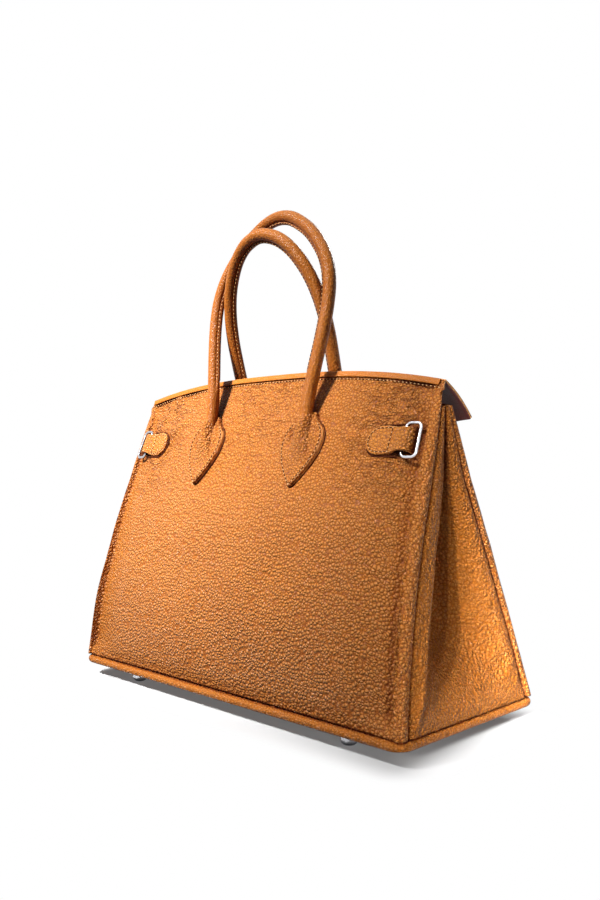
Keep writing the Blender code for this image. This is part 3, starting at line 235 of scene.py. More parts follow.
def grained_leather(name, pebble, depth, crease=0.08, rough=0.30, shine=0.17, pebble_tone_and_painted_light=1.0, leather_colour=TAN):
    """Pebbled calf leather. pebble is one pebble's width in metres, depth how deep the grain lies,
    pebble_tone_and_painted_light how much the pebbles' crowns pale and their gaps darken, as grain tone and as
    painted highlight and painted shade. Where a mesh has them, the attribute wear_and_crease_shade adds long fine
    creases darkened with painted shade, and the attribute inner_side_shade darkens the leather with painted shade.
    Hollows that ambient occlusion finds are darkened with painted shade as well."""
    material, tree, shader, place = fresh_material(name)
    wander = speckle(tree, place, 0.30 / pebble)
    push = add_node(tree, "ShaderNodeVectorMath", {0: wander.outputs["Color"], 1: (1.1 * pebble,) * 3, 2: place},
                    operation="MULTIPLY_ADD")
    grain = {"Vector": push, "Scale": 1.0 / pebble, "Randomness": 0.9}
    cells = add_node(tree, "ShaderNodeTexVoronoi", grain)
    gaps = add_node(tree, "ShaderNodeTexVoronoi", grain, feature="DISTANCE_TO_EDGE")
    pores = speckle(tree, place, 5.0 / pebble)
    drawn_out = add_node(tree, "ShaderNodeMapping", {"Vector": place, "Scale": (0.5, 0.5, 1.6)})
    folds = speckle(tree, drawn_out, 0.26 / pebble, distortion=0.9)
    cloud = speckle(tree, place, 16.0, detail=3.0)
    wear_and_crease_shade, inner_side_shade = (add_node(tree, "ShaderNodeAttribute", {}, attribute_name=label).outputs["Fac"]
                     for label in ("wear_and_crease_shade", "inner_side_shade"))

    dome = ramped(tree, cells, 0.85, 0.0)
    pillow = ramped(tree, gaps, 0.0, 0.30)
    open_gap = ramped(tree, gaps, 0.0, 0.15)
    fold_line = math_node(tree, "ABSOLUTE", math_node(tree, "SUBTRACT", folds, 0.5))
    crease_amount = math_node(tree, "ADD", math_node(tree, "MULTIPLY", wear_and_crease_shade, 0.75), crease)
    # fold_down sinks the fold lines in the bump, and further down it also darkens them as painted shade in the creases.
    fold_down = math_node(tree, "MULTIPLY", ramped(tree, fold_line, 0.045, 0.0), crease_amount)
    height = math_node(tree, "MULTIPLY", dome, 0.80)
    height = math_node(tree, "ADD", height, math_node(tree, "MULTIPLY", pillow, 0.20))
    height = math_node(tree, "ADD", height, math_node(tree, "MULTIPLY", pores, 0.05))
    height = math_node(tree, "SUBTRACT", height, fold_down)

    colour = mixed(tree, ramped(tree, cloud, 0.3, 0.75, 0.0, 0.12), leather_colour, TAN_DEEP)
    # The pebbles' crowns pale and their gaps darken. This is grain tone, with a painted highlight on the crowns and
    # painted shade in the gaps.
    colour = mixed(tree, math_node(tree, "MULTIPLY", dome, 0.34 * pebble_tone_and_painted_light), colour, TAN_PALE)
    gap_tone_and_shade = math_node(tree, "MULTIPLY", math_node(tree, "SUBTRACT", 1.0, open_gap), 0.66 * pebble_tone_and_painted_light)
    # Painted shade: the colour darkens towards TAN_DEEP in the grain gaps, in hollows that ambient occlusion finds,
    # along the fold lines and on the handles' inner side.
    occlusion_shade = painted_hollow_shade(tree, 0.014, 0.88, 0.22, 0.94)
    for dark in (gap_tone_and_shade, occlusion_shade, math_node(tree, "MULTIPLY", fold_down, 0.7), math_node(tree, "MULTIPLY", inner_side_shade, 0.6)):
        colour = mixed(tree, dark, colour, TAN_DEEP)
    dulled = ramped(tree, open_gap, 0.0, 1.0, rough + 0.25, rough)
    feed(tree, shader, {
        "Base Color": colour, "Roughness": mixed(tree, occlusion_shade, dulled, (0.9, 0.9, 0.9)), "Specular IOR Level": shine,
        "Normal": add_node(tree, "ShaderNodeBump", {"Strength": 1.0, "Distance": depth, "Height": height})})
    return material


WALL_LEATHER = grained_leather("pebbled_calf", 0.0023, 0.00125, shine=0.23)
ROLL_LEATHER = grained_leather("pebbled_calf_rolled", 0.0020, 0.00070, pebble_tone_and_painted_light=0.6)
EDGE_PAINT = mottled("painted_cut_edge", 900.0, TAN, TAN_PALE, rough=0.42)


def add_piece(name, mesh, *materials):
    piece = bpy.data.objects.new(name, mesh)
    bpy.context.scene.collection.objects.link(piece)
    for material in materials:
        mesh.materials.append(material)
    return piece


def smooth(mesh, degrees=50.0):
    mesh.shade_smooth()
    mesh.set_sharp_from_angle(angle=math.radians(degrees))


def mend(mesh, *steps):
    """Opens a mesh for editing and runs each step on it."""
    bm = bmesh.new()
    bm.from_mesh(mesh)
    for step in steps:
        step(bm)
    bm.to_mesh(mesh)
    bm.free()


def turn_outwards(bm):
    bmesh.ops.recalc_face_normals(bm, faces=bm.faces)


def closed_skin(name, loops, materials, ring=False):
    """A closed skin through loops of points, each with the same count. A ring has no ends to close."""
    loops = np.asarray(loops, float)
    stations, count = loops.shape[:2]
    faces = []
    for r in range(stations if ring else stations - 1):
        above = (r + 1) % stations
        for c in range(count):
            after = (c + 1) % count
            faces.append((r * count + c, r * count + after, above * count + after, above * count + c))
    if not ring:
        faces.append(tuple(range(count - 1, -1, -1)))
        faces.append(tuple(range((stations - 1) * count, stations * count)))
    mesh = bpy.data.meshes.new(name)
    mesh.from_pydata([tuple(p) for p in loops.reshape(-1, 3)], [], faces)
    mend(mesh, turn_outwards)
    smooth(mesh)
    return add_piece(name, mesh, *materials)


def between(here, there, share):
    return tuple(a + (b - a) * share for a, b in zip(here, there))


def rounded_section(width, depth, radius, steps):
    """Points of a rounded rectangle about the origin, counter-clockwise."""
    points = []
    for quarter, (side_x, side_y) in enumerate(((1.0, 1.0), (-1.0, 1.0), (-1.0, -1.0), (1.0, -1.0))):
        centre = (side_x * (width / 2.0 - radius), side_y * (depth / 2.0 - radius))
        for step in range(steps + 1):
            turn = (quarter + step / steps) * math.pi / 2.0
            points.append((centre[0] + radius * math.cos(turn), centre[1] + radius * math.sin(turn)))
    return points


def divided(outline, parts_for):
    """A closed outline with each edge cut into as many parts as its length asks for."""
    points = []
    for here, there in zip(outline, outline[1:] + outline[:1]):
        parts = parts_for(math.dist(here, there))
        points += [between(here, there, k / parts) for k in range(parts)]
    return points


def floor_outline(width, depth, radius, steps):
    """A rounded outline with its long sides cut up, so that they can wave."""
    return divided(rounded_section(width, depth, radius, steps), lambda reach: 36 if reach > 0.02 else 1)


BASE_ROLL = (BASE_HIGH - BASE_LOW) / 2.0
BASE_CORNER = 0.0125
BASE_ROLL_STEPS = 12
BASE_SWELL, BASE_SWELLS_PER_METRE = 0.00035, 60.0
base_loops = []
for step in range(BASE_ROLL_STEPS + 1):
    turn = math.pi * (step / BASE_ROLL_STEPS - 0.5)
    inset = BASE_ROLL * (1.0 - math.cos(turn))
    level = (BASE_LOW + BASE_HIGH) / 2.0 + BASE_ROLL * math.sin(turn)
    wide, deep = (size + 2.0 * BASE_PROUD - 2.0 * inset for size in (BASE_WIDTH, BASE_DEPTH))
    outline = floor_outline(wide, deep, BASE_CORNER - inset * 0.8, 8)
    swell = [BASE_SWELL * noise.noise(Vector((x * BASE_SWELLS_PER_METRE, y * BASE_SWELLS_PER_METRE, step * 0.3)))
             for x, y in outline]
    base_loops.append([(x * (1.0 + s), y * (1.0 + s * 2.0), level) for (x, y), s in zip(outline, swell)])
base_piece = closed_skin("base_leather", base_loops, (ROLL_LEATHER,))
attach(base_piece, "bag_body")
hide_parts("base_panel")


# The feet: four turned steel studs with a domed head, a step under the leather and a stem through the
# base to a washer inside. They are polished, and a little scuffed on the crown.

FOOT_X, FOOT_Y = 0.118, 0.0595
FOOT_PROFILE = ((0.0, 0.0), (0.0026, 0.00015), (0.0042, 0.0007), (0.0054, 0.0018), (0.0062, 0.0034),
                (0.0065, 0.0055), (0.0064, 0.0078), (0.0060, 0.0092), (0.0052, 0.0100), (0.0, 0.0102))
TURNED_STEPS = 40
LEAST_RADIUS = 0.00001


def steel(name, colour, rough, scratch):
    """Polished steel, duller in patches and darkened with painted shade in its hollows."""
    material, tree, shader, place = fresh_material(name)
    rub = speckle(tree, place, scratch, detail=4.0)
    plain = mixed(tree, rub, colour, tuple(0.82 * channel for channel in colour))
    # The base colour darkens to near black in hollows: painted shade.
    feed(tree, shader, {"Roughness": ramped(tree, rub, 0.35, 0.7, rough, rough + 0.16), "Metallic": 1.0,
                        "Base Color": mixed(tree, painted_hollow_shade(tree, 0.006, 0.95, 0.3, 0.95), plain, (0.05, 0.05, 0.06))})
    return material


BRIGHT_STEEL = steel("polished_steel", (0.66, 0.66, 0.69), 0.12, 900.0)


def circle(radius, steps):
    turns = (2.0 * math.pi * k / steps for k in range(steps))
    return [(radius * math.cos(turn), radius * math.sin(turn)) for turn in turns]


def turned_piece(name, profile, place, material):
    """A piece turned on a lathe, from its radii and levels, standing at a place."""
    loops = [[(place[0] + x, place[1] + y, level) for x, y in circle(max(radius, LEAST_RADIUS), TURNED_STEPS)]
             for radius, level in profile]
    return closed_skin(name, loops, (material,))


for corner, side_x, side_y in (("back_left", -1, -1), ("back_right", 1, -1), ("front_left", -1, 1),
                               ("front_right", 1, 1)):
    stud = turned_piece("stud_" + corner, FOOT_PROFILE, (side_x * FOOT_X, side_y * FOOT_Y), BRIGHT_STEEL)
    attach(stud, "bag_body")
    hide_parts("foot_" + corner)


# The walls: one back and one front panel of soft pebbled calf. Each turns round its end into a padded
# roll and in again along a lip, where the gusset is sewn. The back bellies out over its lower half.

SEAM_LEVEL = 0.0176
TOP_WIDTH = 0.3232
BACK_HEIGHT = 0.2228
GUSSET_HEIGHT = 0.2055
TOP_ARCH = 0.0135
BACK_LEAN = 0.0641
BACK_BULGE, FRONT_BULGE = 0.018, 0.003
FRONT_BOW = 0.0035
LEATHER = 0.0015
LINING = 0.0008
GAP = 0.0003
SEAM_GAP = 0.0003
BEND = LEATHER + GAP
GUSSET_MOUTH = 0.001
TOP_STACK = 2.0 * (4.0 * BEND + SEAM_GAP) + GUSSET_MOUTH
LIP_WIDTH = 0.003
STRAP_LEVEL, STRAP_SINK = 0.200, 0.149
STRAP_END_MIDDLE = 0.128


def half_width(height):
    return BASE_WIDTH / 2.0 + (TOP_WIDTH - BASE_WIDTH) / 2.0 * height / BACK_HEIGHT


def unit(vectors):
    return vectors / (np.linalg.norm(vectors, axis=-1, keepdims=True) + 1e-12)


class Wall:
    """The outer face of the back or front panel, by place across and share of its height."""

    def __init__(self, side, height, lean, bow, bulge):
        self.side, self.height, self.lean, self.bow, self.bulge = side, height, lean, bow, bulge

    def arch(self, x, share):
        across = np.minimum(1.0, np.abs(x) / half_width(share * self.height))
        return TOP_ARCH * (1.0 - across ** 2.6)

    def point(self, x, share):
        x = np.asarray(x, float)
        share = np.broadcast_to(np.asarray(share, float), x.shape)
        across = x / half_width(share * self.height)
        swell = self.bulge * np.sin(np.pi * np.maximum(share, 0.0) ** 0.9) * (1.0 - 0.5 * across * across)
        lean = (self.lean + self.bow * (1.0 - across * across)) * share
        y = self.side * (BASE_DEPTH / 2.0 - lean + swell)
        return np.stack([x, y, SEAM_LEVEL + share * (self.height + self.arch(x, share))], -1)

    def normal(self, x, share):
        x = np.asarray(x, float)
        share = np.broadcast_to(np.asarray(share, float), x.shape)
        low = np.maximum(share - 0.002, 0.0)
        rise = self.point(x, low + 0.004) - self.point(x, low)
        along = self.point(x + 0.0007, share) - self.point(x - 0.0007, share)
        return unit(np.cross(along, rise) * (-self.side))

    def share_at(self, x, level):
        x = np.asarray(x, float)
        share = np.broadcast_to((level - SEAM_LEVEL) / self.height, x.shape)
        for _ in range(8):
            share = (level - SEAM_LEVEL) / (self.height + self.arch(x, share))
        return share

    def lifted(self, x, level, lift):
        share = self.share_at(x, level)
        lift = np.broadcast_to(np.asarray(lift, float), np.shape(x))
        return self.point(x, share) + self.normal(x, share) * lift[..., None]


BACK = Wall(-1.0, BACK_HEIGHT, BACK_LEAN, 0.0, BACK_BULGE)
back_mouth = float(BACK.point(half_width(GUSSET_HEIGHT), GUSSET_HEIGHT / BACK_HEIGHT)[1])
FRONT = Wall(1.0, GUSSET_HEIGHT, BASE_DEPTH / 2.0 - (back_mouth + TOP_STACK), FRONT_BOW, FRONT_BULGE)


def edge_y(wall, height):
    return float(wall.point(half_width(height), height / wall.height)[1])


def roll_radii(height):
    spare = (edge_y(FRONT, height) - edge_y(BACK, height) - TOP_STACK) / 2.0
    return (min(0.006, BEND + 0.2 * spare), min(0.003, BEND + 0.1 * spare), min(0.0055, BEND + 0.2 * spare))


def arc(centre, radius, start, end, steps):
    turns = [start + (end - start) * step / steps for step in range(steps + 1)]
    return [(centre[0] + radius * math.cos(a), centre[1] + radius * math.sin(a)) for a in turns]


def fractal(x, y, z, octaves=3):
    total, size = 0.0, 1.0
    for _ in range(octaves):
        total += size * noise.noise(Vector((x, y, z)))
        x, y, z, size = 2.0 * x, 2.0 * y, 2.0 * z, size * 0.5
    return total


def share_of(value, start, end):
    """How far a value is from start to end, from 0 to 1."""
    return max(0.0, min(1.0, (value - start) / (end - start)))


def eased(value, start, end):
    """The same, starting and ending gently."""
    share = share_of(value, start, end)
    return share * share * (3.0 - 2.0 * share)


def wall_relief(wall, x, z):
    """How far the soft wall stands off its even form: a belly low down, a rounding and a crease before the
    rolled end, slow waves, and lines pulled from the strap slots towards the top edge."""
    height = z - SEAM_LEVEL
    from_end = half_width(height) - abs(x)
    belly = 0.0016 * math.sin(math.pi * min(1.0, height / 0.09)) - 0.0018 * math.exp(-(height / 0.007) ** 2)
    top = eased(height, 0.212, 0.190)
    low = eased(height, 0.16, 0.04)
    rounding = -(0.0034 + 0.0022 * low) * eased(from_end, 0.036 + 0.014 * low, 0.008)
    pressed = 0.0022 if x > 0.0 else 0.0007
    rounding -= pressed * math.exp(-((from_end - 0.0110) / 0.0038) ** 2)
    rounding *= eased(from_end, 0.0058, 0.0078) * (0.35 + 0.65 * top) * eased(height, 0.0, 0.014)
    wave = 0.0016 * fractal(x * 11.0 + wall.side, z * 9.0, 0.3) * eased(z, 0.22, 0.15) * eased(height, 0.0, 0.03)
    reach = eased(abs(x), 0.070, 0.125) * eased(z, 0.165, 0.205) * eased(from_end, 0.004, 0.014)
    along = (abs(x) - STRAP_SINK) * 0.62 + (z - STRAP_LEVEL) * 0.78
    lines = 0.00115 * fractal(along * 110.0, (abs(x) - z) * 18.0, 4.0 + x, 2) * reach
    across, up = abs(x) - STRAP_END_MIDDLE, z - STRAP_LEVEL
    near = max(0.0, 1.0 - abs(math.hypot(across, up) - 0.026) / 0.022)
    pull = 0.00030 * math.sin(math.atan2(up, across) * 15.0 + 3.0 * fractal(x * 40.0, z * 40.0, 1.0)) * near
    return belly + rounding + wave + lines + (pull if wall.side < 0.0 else 0.0)


def wall_wear(x, z):
    """Where long fine creases show: by the top corners and between the handles, not on the rolled end."""
    corner = eased(abs(x), 0.075, 0.12) * eased(z, 0.14, 0.20)
    middle = eased(abs(x), 0.05, 0.02) * eased(z, 0.16, 0.22)
    away = eased(half_width(z - SEAM_LEVEL) - abs(x), 0.010, 0.022)
    return min(1.0, 0.9 * corner + 0.6 * middle) * away


def panel_edge(wall, height, rolled):
    panel, lip, _ = roll_radii(min(height, GUSSET_HEIGHT))
    wide = half_width(height)
    face = wall.side * edge_y(wall, height)
    corner = arc((wide - panel, face - panel), panel, math.pi / 2.0, 0.0, 12)[1:]
    inner = arc((wide - lip, face - panel), lip, 0.0, -math.pi / 2.0, 8)[1:]
    points = corner + inner + [(wide - lip - LIP_WIDTH, face - panel - lip)]
    out = []
    for k, (x, y) in enumerate(points):
        flat_x = wide - panel + panel * (k + 1) / len(points)
        flat_y = wall.side * float(wall.point(flat_x, height / wall.height)[1])
        ripple = 0.0003 * fractal(height * 40.0, k * 0.2, wall.side * 3.0) * rolled
        out.append((x * rolled + flat_x * (1.0 - rolled) + ripple,
                    (y * rolled + flat_y * (1.0 - rolled) + 0.6 * ripple) * wall.side, SEAM_LEVEL + height))
    return np.array(out)


def point_values(mesh, label, values):
    values = np.ravel(values).astype(np.float32)
    mesh.attributes.new(label, "FLOAT", "POINT").data.foreach_set("value", values)


def drop_loose(bm):
    bmesh.ops.delete(bm, geom=[v for v in bm.verts if not v.link_faces], context="VERTS")


def grid_piece(name, rows, thickness, materials, keep=None, wear_and_crease_shade=None):
    """A sheet through rows of points with a wall behind it; its cut edge takes the second material."""
    rows = np.asarray(rows, float)
    count = rows.shape[1]
    faces = []
    for r in range(rows.shape[0] - 1):
        for c in range(count - 1):
            if keep is None or keep(r, c):
                a = r * count + c
                faces.append((a, a + 1, a + count + 1, a + count))
    mesh = bpy.data.meshes.new(name)
    mesh.from_pydata([tuple(p) for p in rows.reshape(-1, 3)], [], faces)
    if keep is not None:
        mend(mesh, drop_loose)
    mesh.update()
    if wear_and_crease_shade is not None:
        point_values(mesh, "wear_and_crease_shade", wear_and_crease_shade)
    piece = add_piece(name, mesh, *materials)
    solid = piece.modifiers.new("wall", "SOLIDIFY")
    solid.thickness = thickness
    solid.offset = -1.0
    if len(materials) > 1:
        solid.material_offset_rim = 1
    smooth(mesh, 60.0)
    return piece


def soft_row(wall, x, share):
    """A row of points across the wall, with its relief."""
    flat = wall.point(x, share)
    push = np.array([wall_relief(wall, px, pz) for px, _, pz in flat])
    return flat + wall.normal(x, share) * push[:, None]


WALL_ROWS = 140
UNROLL_HEIGHT = 0.012
MIDDLE_SHARE, MIDDLE_COLUMNS, END_COLUMNS = 0.86, 90, 46
COLUMN_SHARES = np.concatenate([np.linspace(0.0, MIDDLE_SHARE, MIDDLE_COLUMNS)[:-1],
                                np.linspace(MIDDLE_SHARE, 1.0, END_COLUMNS)])
COLUMN_SHARES = np.concatenate([-COLUMN_SHARES[:0:-1], COLUMN_SHARES])


def wall_rows(wall):
    """Rows of one wall from its seam up, round both rolls, and how worn each point is."""
    rows, wear = [], []
    for k in range(WALL_ROWS + 1):
        height = wall.height * k / WALL_ROWS
        rolled = 1.0 - share_of(height, GUSSET_HEIGHT, GUSSET_HEIGHT + UNROLL_HEIGHT)
        start = half_width(height) - roll_radii(min(height, GUSSET_HEIGHT))[0]
        edge = panel_edge(wall, height, rolled)
        row = np.vstack([edge[::-1] * (-1.0, 1.0, 1.0), soft_row(wall, start * COLUMN_SHARES, height / wall.height),
                         edge])
        rows.append(row if wall.side < 0.0 else row[::-1])
        wear.append([wall_wear(px, pz) for px, _, pz in rows[-1]])
    return np.array(rows), np.array(wear)


for name, wall in (("back", BACK), ("front", FRONT)):
    rows, wear = wall_rows(wall)
    piece = grid_piece(name + "_wall", rows, LEATHER, (WALL_LEATHER, EDGE_PAINT), wear_and_crease_shade=wear)
    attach(piece, "bag_body")
    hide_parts(name + "_panel")


# The gussets: one soft piece of the same hide at each end, sewn lip to lip with the walls. It turns a
# fat fold of its own, dives into a deep valley and comes back, and puckers where it meets the base.

GUSSET_LEATHER = grained_leather("pebbled_calf_gusset", 0.0023, 0.00150, pebble_tone_and_painted_light=0.65)
GUSSET_ROWS = 130
FOLD_POINTS, LEG_POINTS, VALLEY_POINTS = 14, 26, 14


def gusset_section(height):
    """The right gusset in plan: lip, fold, leg, valley and back, with the same count at every height."""
    panel, lip, fold = roll_radii(height)
    wide = half_width(height)
    back = edge_y(BACK, height) + panel + lip + SEAM_GAP
    front = edge_y(FRONT, height) - panel - lip - SEAM_GAP
    middle = (back + front) / 2.0
    half_gap = (edge_y(FRONT, height) - edge_y(BACK, height)) / 2.0
    share = height / GUSSET_HEIGHT
    leg_length = BASE_DEPTH / 2.0 - 0.030 * share ** 1.8
    grown = share_of(height, 0.006, 0.056)
    depth = math.sqrt(max(0.0, leg_length ** 2 - half_gap ** 2)) * math.sin(grown * math.pi / 2.0)
    centre = (wide - fold, back + fold)
    reach = (-depth + fold, middle - centre[1])
    tangent = math.atan2(reach[1], reach[0]) - math.acos(min(1.0, fold / math.hypot(*reach)))
    half = [(wide - lip - LIP_WIDTH, back)] + arc(centre, fold, -math.pi / 2.0, tangent, FOLD_POINTS)
    fold_points = len(half)
    leg_from, valley = half[-1], (wide - depth, middle)
    soft = 0.25 + 0.5 * (1.0 - share)
    leg_end = between(leg_from, valley, 1.0 - soft)
    half += [between(leg_from, leg_end, step / LEG_POINTS) for step in range(1, LEG_POINTS + 1)]
    mirror_end = (leg_end[0], 2.0 * middle - leg_end[1])
    for step in range(1, VALLEY_POINTS + 1):
        s = 0.5 * step / VALLEY_POINTS
        half.append(between(between(leg_end, valley, s), between(valley, mirror_end, s), s))
    other = [(x, 2.0 * middle - y) for x, y in reversed(half[:-1])]
    section = np.array(half + other)
    count = len(section)
    puff = share_of(share, 0.0, 0.3) * share_of(share, 0.98, 0.48)
    for first, last, most in ((fold_points - 5, len(half) - 2, 0.0030), (len(half), count - fold_points + 4, 0.0050)):
        s = (np.arange(first, last) - first) / (last - 1.0 - first)
        run = unit(section[last - 1] - section[first])
        section[first:last] += np.array([run[1], -run[0]]) * (most * puff * np.sin(np.pi * s) ** 1.4)[:, None]
    fat = 0.0042 * share_of(share, 0.0, 0.12) * share_of(share, 1.0, 0.75)
    steps = np.arange(fold_points - 6, fold_points + 10)
    bulge = fat * np.sin(np.pi * (steps - steps[0]) / (len(steps) - 1.0))[:, None] ** 1.2
    run = unit(section[steps[-1]] - section[steps[0]])
    section[steps] += np.array([run[1], -run[0]]) * bulge
    section[count - 1 - steps] += np.array([0.16 * run[1], 0.4 * run[0]]) * bulge
    return section


def gusset_rows(side):
    """Rows of one gusset from its foot up, with slow waves and the puckers over the base."""
    rows = []
    for height in np.linspace(0.0, GUSSET_HEIGHT, GUSSET_ROWS + 1):
        section = gusset_section(height)
        rows.append(np.column_stack([section, np.full(len(section), SEAM_LEVEL + height)]))
    rows = np.array(rows)
    normal = unit(np.cross(np.gradient(rows, axis=1), np.gradient(rows, axis=0)))
    for r in range(rows.shape[0]):
        for c in range(rows.shape[1]):
            x, y, z = rows[r, c]
            free = share_of(min(c - 4, rows.shape[1] - 5 - c), 0.0, 16.0)
            foot = share_of(z, SEAM_LEVEL, SEAM_LEVEL + 0.012)
            head = min(1.0, (0.2225 - z) / 0.02)
            wave = 0.0012 * fractal(y * 26.0 + side, z * 10.0, 2.0)
            pucker = 0.0005 * math.sin((y - 0.9 * z) * 330.0 + 3.0 * fractal(y * 20.0, z * 20.0, 5.0))
            pucker *= math.exp(-((z - 0.042) / 0.022) ** 2) * math.exp(-((abs(y) - 0.045) / 0.022) ** 2)
            rows[r, c] += normal[r, c] * (wave + pucker) * free * foot * head
    if side < 0.0:
        rows = rows[:, ::-1] * (-1.0, 1.0, 1.0)
    return rows


for side, name in ((1.0, "right"), (-1.0, "left")):
    piece = grid_piece("gusset_skin_" + name, gusset_rows(side), LEATHER, (GUSSET_LEATHER, EDGE_PAINT))
    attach(piece, "bag_body")
    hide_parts("gusset_" + name)


# The linings: thin dark goat inside the walls, the gussets and the floor, with a patch pocket sewn on
# the back one. Their cut tops are hidden under the turned edge.

GOAT_DYE = (0.13, 0.020, 0.016)
LINING_LOW, LINING_DROP, LINING_MARGIN = 0.0217, 0.0034, 0.0008
FLOOR_WIDTH, FLOOR_DEPTH, FLOOR_CORNER = 0.3380, 0.1436, 0.016
FLOOR_LEVELS = (0.0206, 0.0214)
LINED_ROWS, LINED_COLUMNS = slice(3, 128), slice(19, -19)
POCKET_LOW, POCKET_HIGH, POCKET_HALF, POCKET_SAG = 0.048, 0.178, 0.073, 0.0012

GOAT, goat_tree, goat_shader, goat_place = fresh_material("maroon_goat")
goat_grain = add_node(goat_tree, "ShaderNodeTexVoronoi", {"Vector": goat_place, "Scale": 900.0})
goat_cloud = speckle(goat_tree, goat_place, 60.0, detail=4.0)
feed(goat_tree, goat_shader, {
    "Base Color": mixed(goat_tree, goat_cloud, tuple(0.45 * channel for channel in GOAT_DYE), GOAT_DYE),
    "Normal": add_node(goat_tree, "ShaderNodeBump", {"Distance": 0.00012, "Height": goat_grain}),
    "Roughness": ramped(goat_tree, goat_grain, 0.0, 0.8, 0.46, 0.66)})


def sunk(rows, depth):
    """The same sheet, moved a depth towards its inner side."""
    rows = np.asarray(rows, float)
    return rows - unit(np.cross(np.gradient(rows, axis=1), np.gradient(rows, axis=0))) * depth


def lining_rows(wall):
    rows = []
    for share in np.linspace((LINING_LOW - SEAM_LEVEL) / wall.height, 1.0 - LINING_DROP / wall.height, 60):
        height = share * wall.height
        panel, lip, _ = roll_radii(min(height, GUSSET_HEIGHT))
        half = half_width(height) - max(lip + LIP_WIDTH, panel) - LINING_MARGIN
        row = soft_row(wall, np.linspace(-half, half, 81), share)
        rows.append(row if wall.side < 0.0 else row[::-1])
    return np.array(rows)


for name, wall in (("back", BACK), ("front", FRONT)):
    piece = grid_piece(name + "_wall_lining", sunk(lining_rows(wall), LEATHER + GAP), LINING, (GOAT,))
    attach(piece, "bag_body")
    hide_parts(name + "_lining")
for side, name in ((1.0, "right"), (-1.0, "left")):
    rows = sunk(gusset_rows(side)[LINED_ROWS, LINED_COLUMNS], LEATHER + GAP)
    piece = grid_piece("gusset_goat_" + name, rows, LINING, (GOAT,))
    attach(piece, "bag_body")
    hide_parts("gusset_lining_" + name)
floor_edge = floor_outline(FLOOR_WIDTH, FLOOR_DEPTH, FLOOR_CORNER, 6)
floor_goat = closed_skin("floor_goat", [[(*place, level) for place in floor_edge] for level in FLOOR_LEVELS], (GOAT,))
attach(floor_goat, "bag_body")
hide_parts("base_lining")
pocket_rows = []
x = np.linspace(-POCKET_HALF, POCKET_HALF, 60)
for level in np.linspace(POCKET_LOW, POCKET_HIGH, 40):
    sag = POCKET_SAG * math.sin(math.pi * (level - POCKET_LOW) / (POCKET_HIGH - POCKET_LOW))
    sag = sag * np.cos(np.pi * x / (2.0 * POCKET_HALF))
    pocket_rows.append(BACK.lifted(x, level, -(LEATHER + LINING + 2.0 * GAP) - sag))
pocket = grid_piece("pocket_goat", pocket_rows, LINING, (GOAT,))
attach(pocket, "bag_body")
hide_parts("inner_pocket")


# The edge bindings: narrow folded strips along the top of both walls, with one row of stitches in the
# groove under each. Thread is waxed linen, each stitch drawn down between two awl holes.

THREAD = mottled("waxed_thread", 1600.0, (0.52, 0.25, 0.08), (0.80, 0.48, 0.20), rough=0.55)
# The groove's near-black colour is painted shade, on a dark cord laid in the groove under each row of stitches.
GROOVE_SHADE = mottled("stitch_groove_shade", 900.0, (0.020, 0.004, 0.001), (0.12, 0.024, 0.005), rough=0.75, shine=0.1)
GROOVE_SHADE_SHARE = 0.42


def stitch_tree():
    """Geometry Nodes: short round stitches along a path of edges, each turned to follow it, and a dark cord
    under them: painted shade in the groove they lie in."""
    tree = bpy.data.node_groups.new("stitches_along_path", "GeometryNodeTree")
    for label, way, kind in (("Geometry", "INPUT", "Geometry"), ("Spacing", "INPUT", "Float"),
                             ("Length", "INPUT", "Float"), ("Thickness", "INPUT", "Float"),
                             ("Thread", "INPUT", "Material"), ("Groove shade", "INPUT", "Material"),
                             ("Geometry", "OUTPUT", "Geometry")):
        tree.interface.new_socket(label, in_out=way, socket_type="NodeSocket" + kind)
    given = tree.nodes.new("NodeGroupInput").outputs
    thick = given["Thickness"]
    path = add_node(tree, "GeometryNodeMeshToCurve", {"Mesh": given["Geometry"]})
    marks = add_node(tree, "GeometryNodeResampleCurve", {"Curve": path, "Length": given["Spacing"]}, mode="LENGTH")
    along = tree.nodes.new("GeometryNodeInputTangent")
    turned = add_node(tree, "FunctionNodeAlignRotationToVector", {"Vector": along}, axis="X")
    bead = add_node(tree, "GeometryNodeMeshIcoSphere", {"Radius": 0.5, "Subdivisions": 2})
    size = add_node(tree, "ShaderNodeCombineXYZ", {"X": given["Length"], "Y": thick, "Z": thick})
    placed = add_node(tree, "GeometryNodeInstanceOnPoints",
                      {"Points": marks, "Rotation": turned, "Instance": bead, "Scale": size})
    real = add_node(tree, "GeometryNodeRealizeInstances", {"Geometry": placed})
    sewn = add_node(tree, "GeometryNodeSetMaterial", {"Geometry": real, "Material": given["Thread"]})
    # The dark cord along the path is painted shade in the stitch groove.
    radius = add_node(tree, "ShaderNodeMath", {0: thick, 1: GROOVE_SHADE_SHARE}, operation="MULTIPLY")
    ring = add_node(tree, "GeometryNodeCurvePrimitiveCircle", {"Resolution": 8, "Radius": radius})
    line = add_node(tree, "GeometryNodeCurveToMesh", {"Curve": path, "Profile Curve": ring, "Fill Caps": True})
    dark = add_node(tree, "GeometryNodeSetMaterial", {"Geometry": line, "Material": given["Groove shade"]})
    both = add_node(tree, "GeometryNodeJoinGeometry", {"Geometry": dark})
    feed(tree, both, {"Geometry": sewn})
    add_node(tree, "NodeGroupOutput", {"Geometry": both})
    return tree


STITCHES = stitch_tree()
WALL_STITCH = (0.0034, 0.0023, 0.00085)


